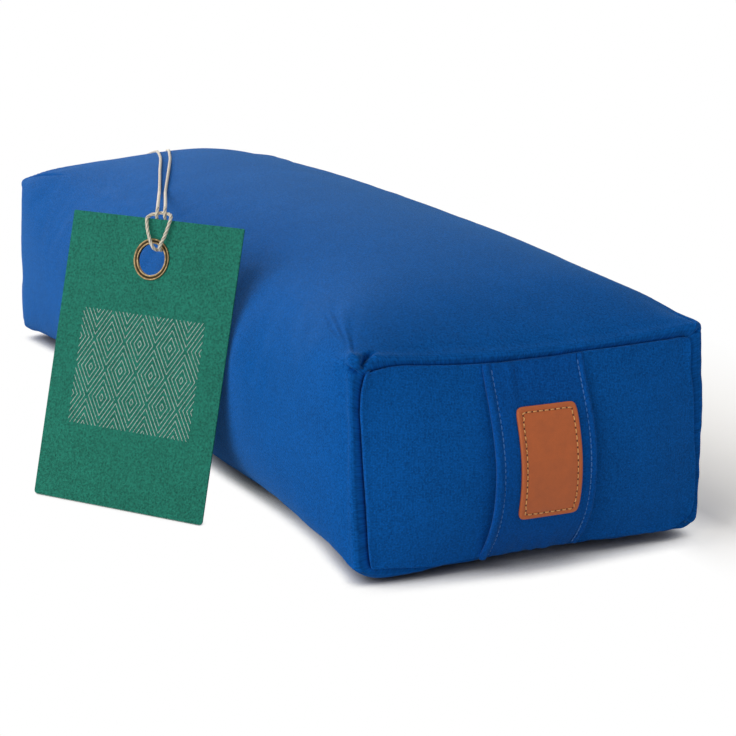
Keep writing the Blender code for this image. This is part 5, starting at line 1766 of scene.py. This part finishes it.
class BOLSTER_OT_set_stage(bpy.types.Operator):
    """Lay the pale floor and set soft studio light"""

    bl_idname = "bolster.set_stage"
    bl_label = "Set Stage"

    def execute(self, context):
        mesh = mesh_of("studio_floor", [(-9, -9, 0), (9, -9, 0), (9, 9, 0), (-9, 9, 0)], [[0, 1, 2, 3]], smooth=False)
        floor = link_mesh("studio_floor", mesh, self.floor_paint())
        floor.location.z = -0.0002
        self.sky(context.scene)
        self.lamp("key_panel", (0.95, -3.15, 1.35), (0.0, 0.0, 0.1), 4.0, 85.0)
        self.lamp("back_panel", (-2.5, -0.15, 1.15), (0.0, 0.0, 0.12), 1.8, 46.0)
        return {"FINISHED"}

    def floor_paint(self):
        """White paint that keeps the shadow near the bolster and deepens it with painted contact shade and a painted
        shadow on the side away from the lamp. Further off it reads as plain white.
        """
        nodes = Nodes("studio_floor_paint")
        shown = nodes.shown()
        x, y, _ = nodes.split(nodes.place())
        grain = nodes.ramp(nodes.noise(nodes.place(), 30.0), 0.3, 0.7)
        colour = nodes.mix(grain, (0.79, 0.79, 0.79), (0.81, 0.81, 0.81))
        reach = nodes.ramp(x, 0.332, 0.350, 0.014, 0.032)
        hollow = nodes.add("ShaderNodeAmbientOcclusion", {"Distance": reach}, samples=8).outputs["AO"]
        # Painted contact shade: where ambient occlusion finds the bolster close, the colour goes towards black for the
        # rays that show the floor
        painted_shade = nodes.math("SUBTRACT", 1.0, nodes.ramp(hollow, 0.0, 0.6, 0.15, 1.0))
        shaded_floor_colour = nodes.mix(nodes.math("MULTIPLY", shown, painted_shade), colour, (0.0, 0.0, 0.0))
        for key, value in (("Base Color", shaded_floor_colour), ("Roughness", 1.0), ("Specular IOR Level", 0.0)):
            nodes.put(nodes.shader.inputs[key], value)
        # Camera-only lift, warm to cancel the blue light that the cloth throws on the floor. It is less where ambient
        # occlusion finds things close, as painted contact shade, and halved on the side away from the lamp, as a
        # painted shadow
        lift_left_by_painted_shadow = nodes.math("SUBTRACT", 1.0, nodes.ramp(y, 0.09, 0.15, 0.0, 0.5))
        amount = nodes.math("MULTIPLY", nodes.math("MULTIPLY", shown, lift_left_by_painted_shadow), nodes.math("POWER", hollow, 1.6))
        bright = nodes.mix(amount, (0.0, 0.0, 0.0), (1.15, 1.05, 0.88))
        lift = nodes.add("ShaderNodeBsdfDiffuse", {"Color": bright}).outputs[0]
        near = nodes.add("ShaderNodeAddShader", {0: nodes.shader.outputs[0], 1: lift}).outputs[0]
        white = nodes.add("ShaderNodeEmission").outputs[0]
        share = nodes.math("MULTIPLY", self.far_off(nodes, x, y, hollow), shown)
        fade = nodes.add("ShaderNodeMixShader", {0: share, 1: near, 2: white}).outputs[0]
        nodes.put(nodes.tree.nodes["Material Output"].inputs["Surface"], fade)
        return nodes.owner

    def far_off(self, nodes, x, y, hollow):
        """Share of plain white paint. On the side away from the lamp it rises only 5 to 30 cm out or past a painted
        shadow edge, so a painted shadow stays there. Elsewhere it rises where ambient occlusion finds nothing close,
        painting white over the floor's own shading.
        """
        gaps = []
        for value, half in ((x, 0.335), (y, 0.125)):
            off = nodes.math("SUBTRACT", nodes.math("ABSOLUTE", value), half)
            gaps.append(nodes.math("MAXIMUM", off, 0.0))
        gap_x, gap_y = gaps
        gap = nodes.math("SQRT", nodes.math("MULTIPLY_ADD", gap_y, gap_y, nodes.math("MULTIPLY", gap_x, gap_x)))
        # A painted shadow edge: a slanted line through the bolster's near corner, past which the floor turns white
        past_painted_shadow_edge = nodes.math("MULTIPLY_ADD", x, 0.77, nodes.math("MULTIPLY", y, 0.64))
        fading = nodes.math("MAXIMUM", nodes.ramp(gap, 0.05, 0.30), nodes.ramp(past_painted_shadow_edge, 0.345, 0.395))
        painted_white_where_open = nodes.ramp(hollow, 0.42, 0.72)
        behind = nodes.ramp(y, 0.09, 0.15)
        return nodes.math("MULTIPLY_ADD", nodes.math("SUBTRACT", fading, painted_white_where_open), behind, painted_white_where_open)

    def sky(self, scene):
        """Even studio light, seen as plain white."""
        scene.world = bpy.data.worlds.new("studio_sky")
        nodes = Nodes("studio_sky", scene.world)
        background = nodes.tree.nodes["Background"]
        nodes.put(background.inputs["Color"], (1.0, 1.0, 1.0))
        nodes.put(background.inputs["Strength"], nodes.ramp(nodes.shown(), 0.0, 1.0, SKY_LEVEL, 1.0))

    def lamp(self, name, place, target, size, power):
        """A large square soft light."""
        light = bpy.data.lights.new(name, "AREA")
        light.shape = "SQUARE"
        light.size = size
        light.energy = power
        lamp = bpy.data.objects.new(name, light)
        lamp.location = place
        lamp.rotation_euler = (Vector(target) - Vector(place)).to_track_quat("-Z", "Y").to_euler()
        bpy.context.scene.collection.objects.link(lamp)


# ---- add-on ----


class BOLSTER_PT_panel(bpy.types.Panel):
    """Sidebar panel with the bolster's sizes and its steps"""

    bl_idname = "BOLSTER_PT_panel"
    bl_label = "Yoga Bolster"
    bl_space_type = "VIEW_3D"
    bl_region_type = "UI"
    bl_category = "Bolster"

    def draw(self, context):
        scene = context.scene
        for name, _ in GROUPS:
            group, box = getattr(scene, name), self.layout.box()
            for key in group.__annotations__:
                box.prop(group, key)
        for step in STEPS:
            self.layout.operator(step.bl_idname)


GROUPS = (
    ("bolster_form", BolsterForm),
    ("bolster_cloth", BolsterCloth),
    ("bolster_trim", BolsterTrim),
    ("bolster_card", BolsterCard),
)
STEPS = (
    BOLSTER_OT_place_camera,
    BOLSTER_OT_sew_cover,
    BOLSTER_OT_sew_handles,
    BOLSTER_OT_sew_patch,
    BOLSTER_OT_sew_zip,
    BOLSTER_OT_fill_cover,
    BOLSTER_OT_hang_card,
    BOLSTER_OT_tie_cord,
    BOLSTER_OT_set_stage,
)


def register():
    """Register the settings, the steps and the panel."""
    for name, group in GROUPS:
        bpy.utils.register_class(group)
        setattr(bpy.types.Scene, name, PointerProperty(type=group))
    for step in STEPS:
        bpy.utils.register_class(step)
    bpy.utils.register_class(BOLSTER_PT_panel)


def unregister():
    """Take everything out again."""
    bpy.utils.unregister_class(BOLSTER_PT_panel)
    for step in reversed(STEPS):
        bpy.utils.unregister_class(step)
    for name, group in reversed(GROUPS):
        delattr(bpy.types.Scene, name)
        bpy.utils.unregister_class(group)


def main():
    """Build the bolster."""
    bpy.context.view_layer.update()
    register()
    bpy.context.scene.view_settings.view_transform = "Standard"
    bpy.ops.bolster.place_camera()
    bpy.ops.bolster.sew_cover()
    bpy.ops.bolster.sew_handles()
    bpy.ops.bolster.sew_patch()
    bpy.ops.bolster.sew_zip()
    bpy.ops.bolster.fill_cover()
    bpy.ops.bolster.hang_card()
    bpy.ops.bolster.tie_cord()
    bpy.ops.bolster.set_stage()


if __name__ == "__main__":
    main()
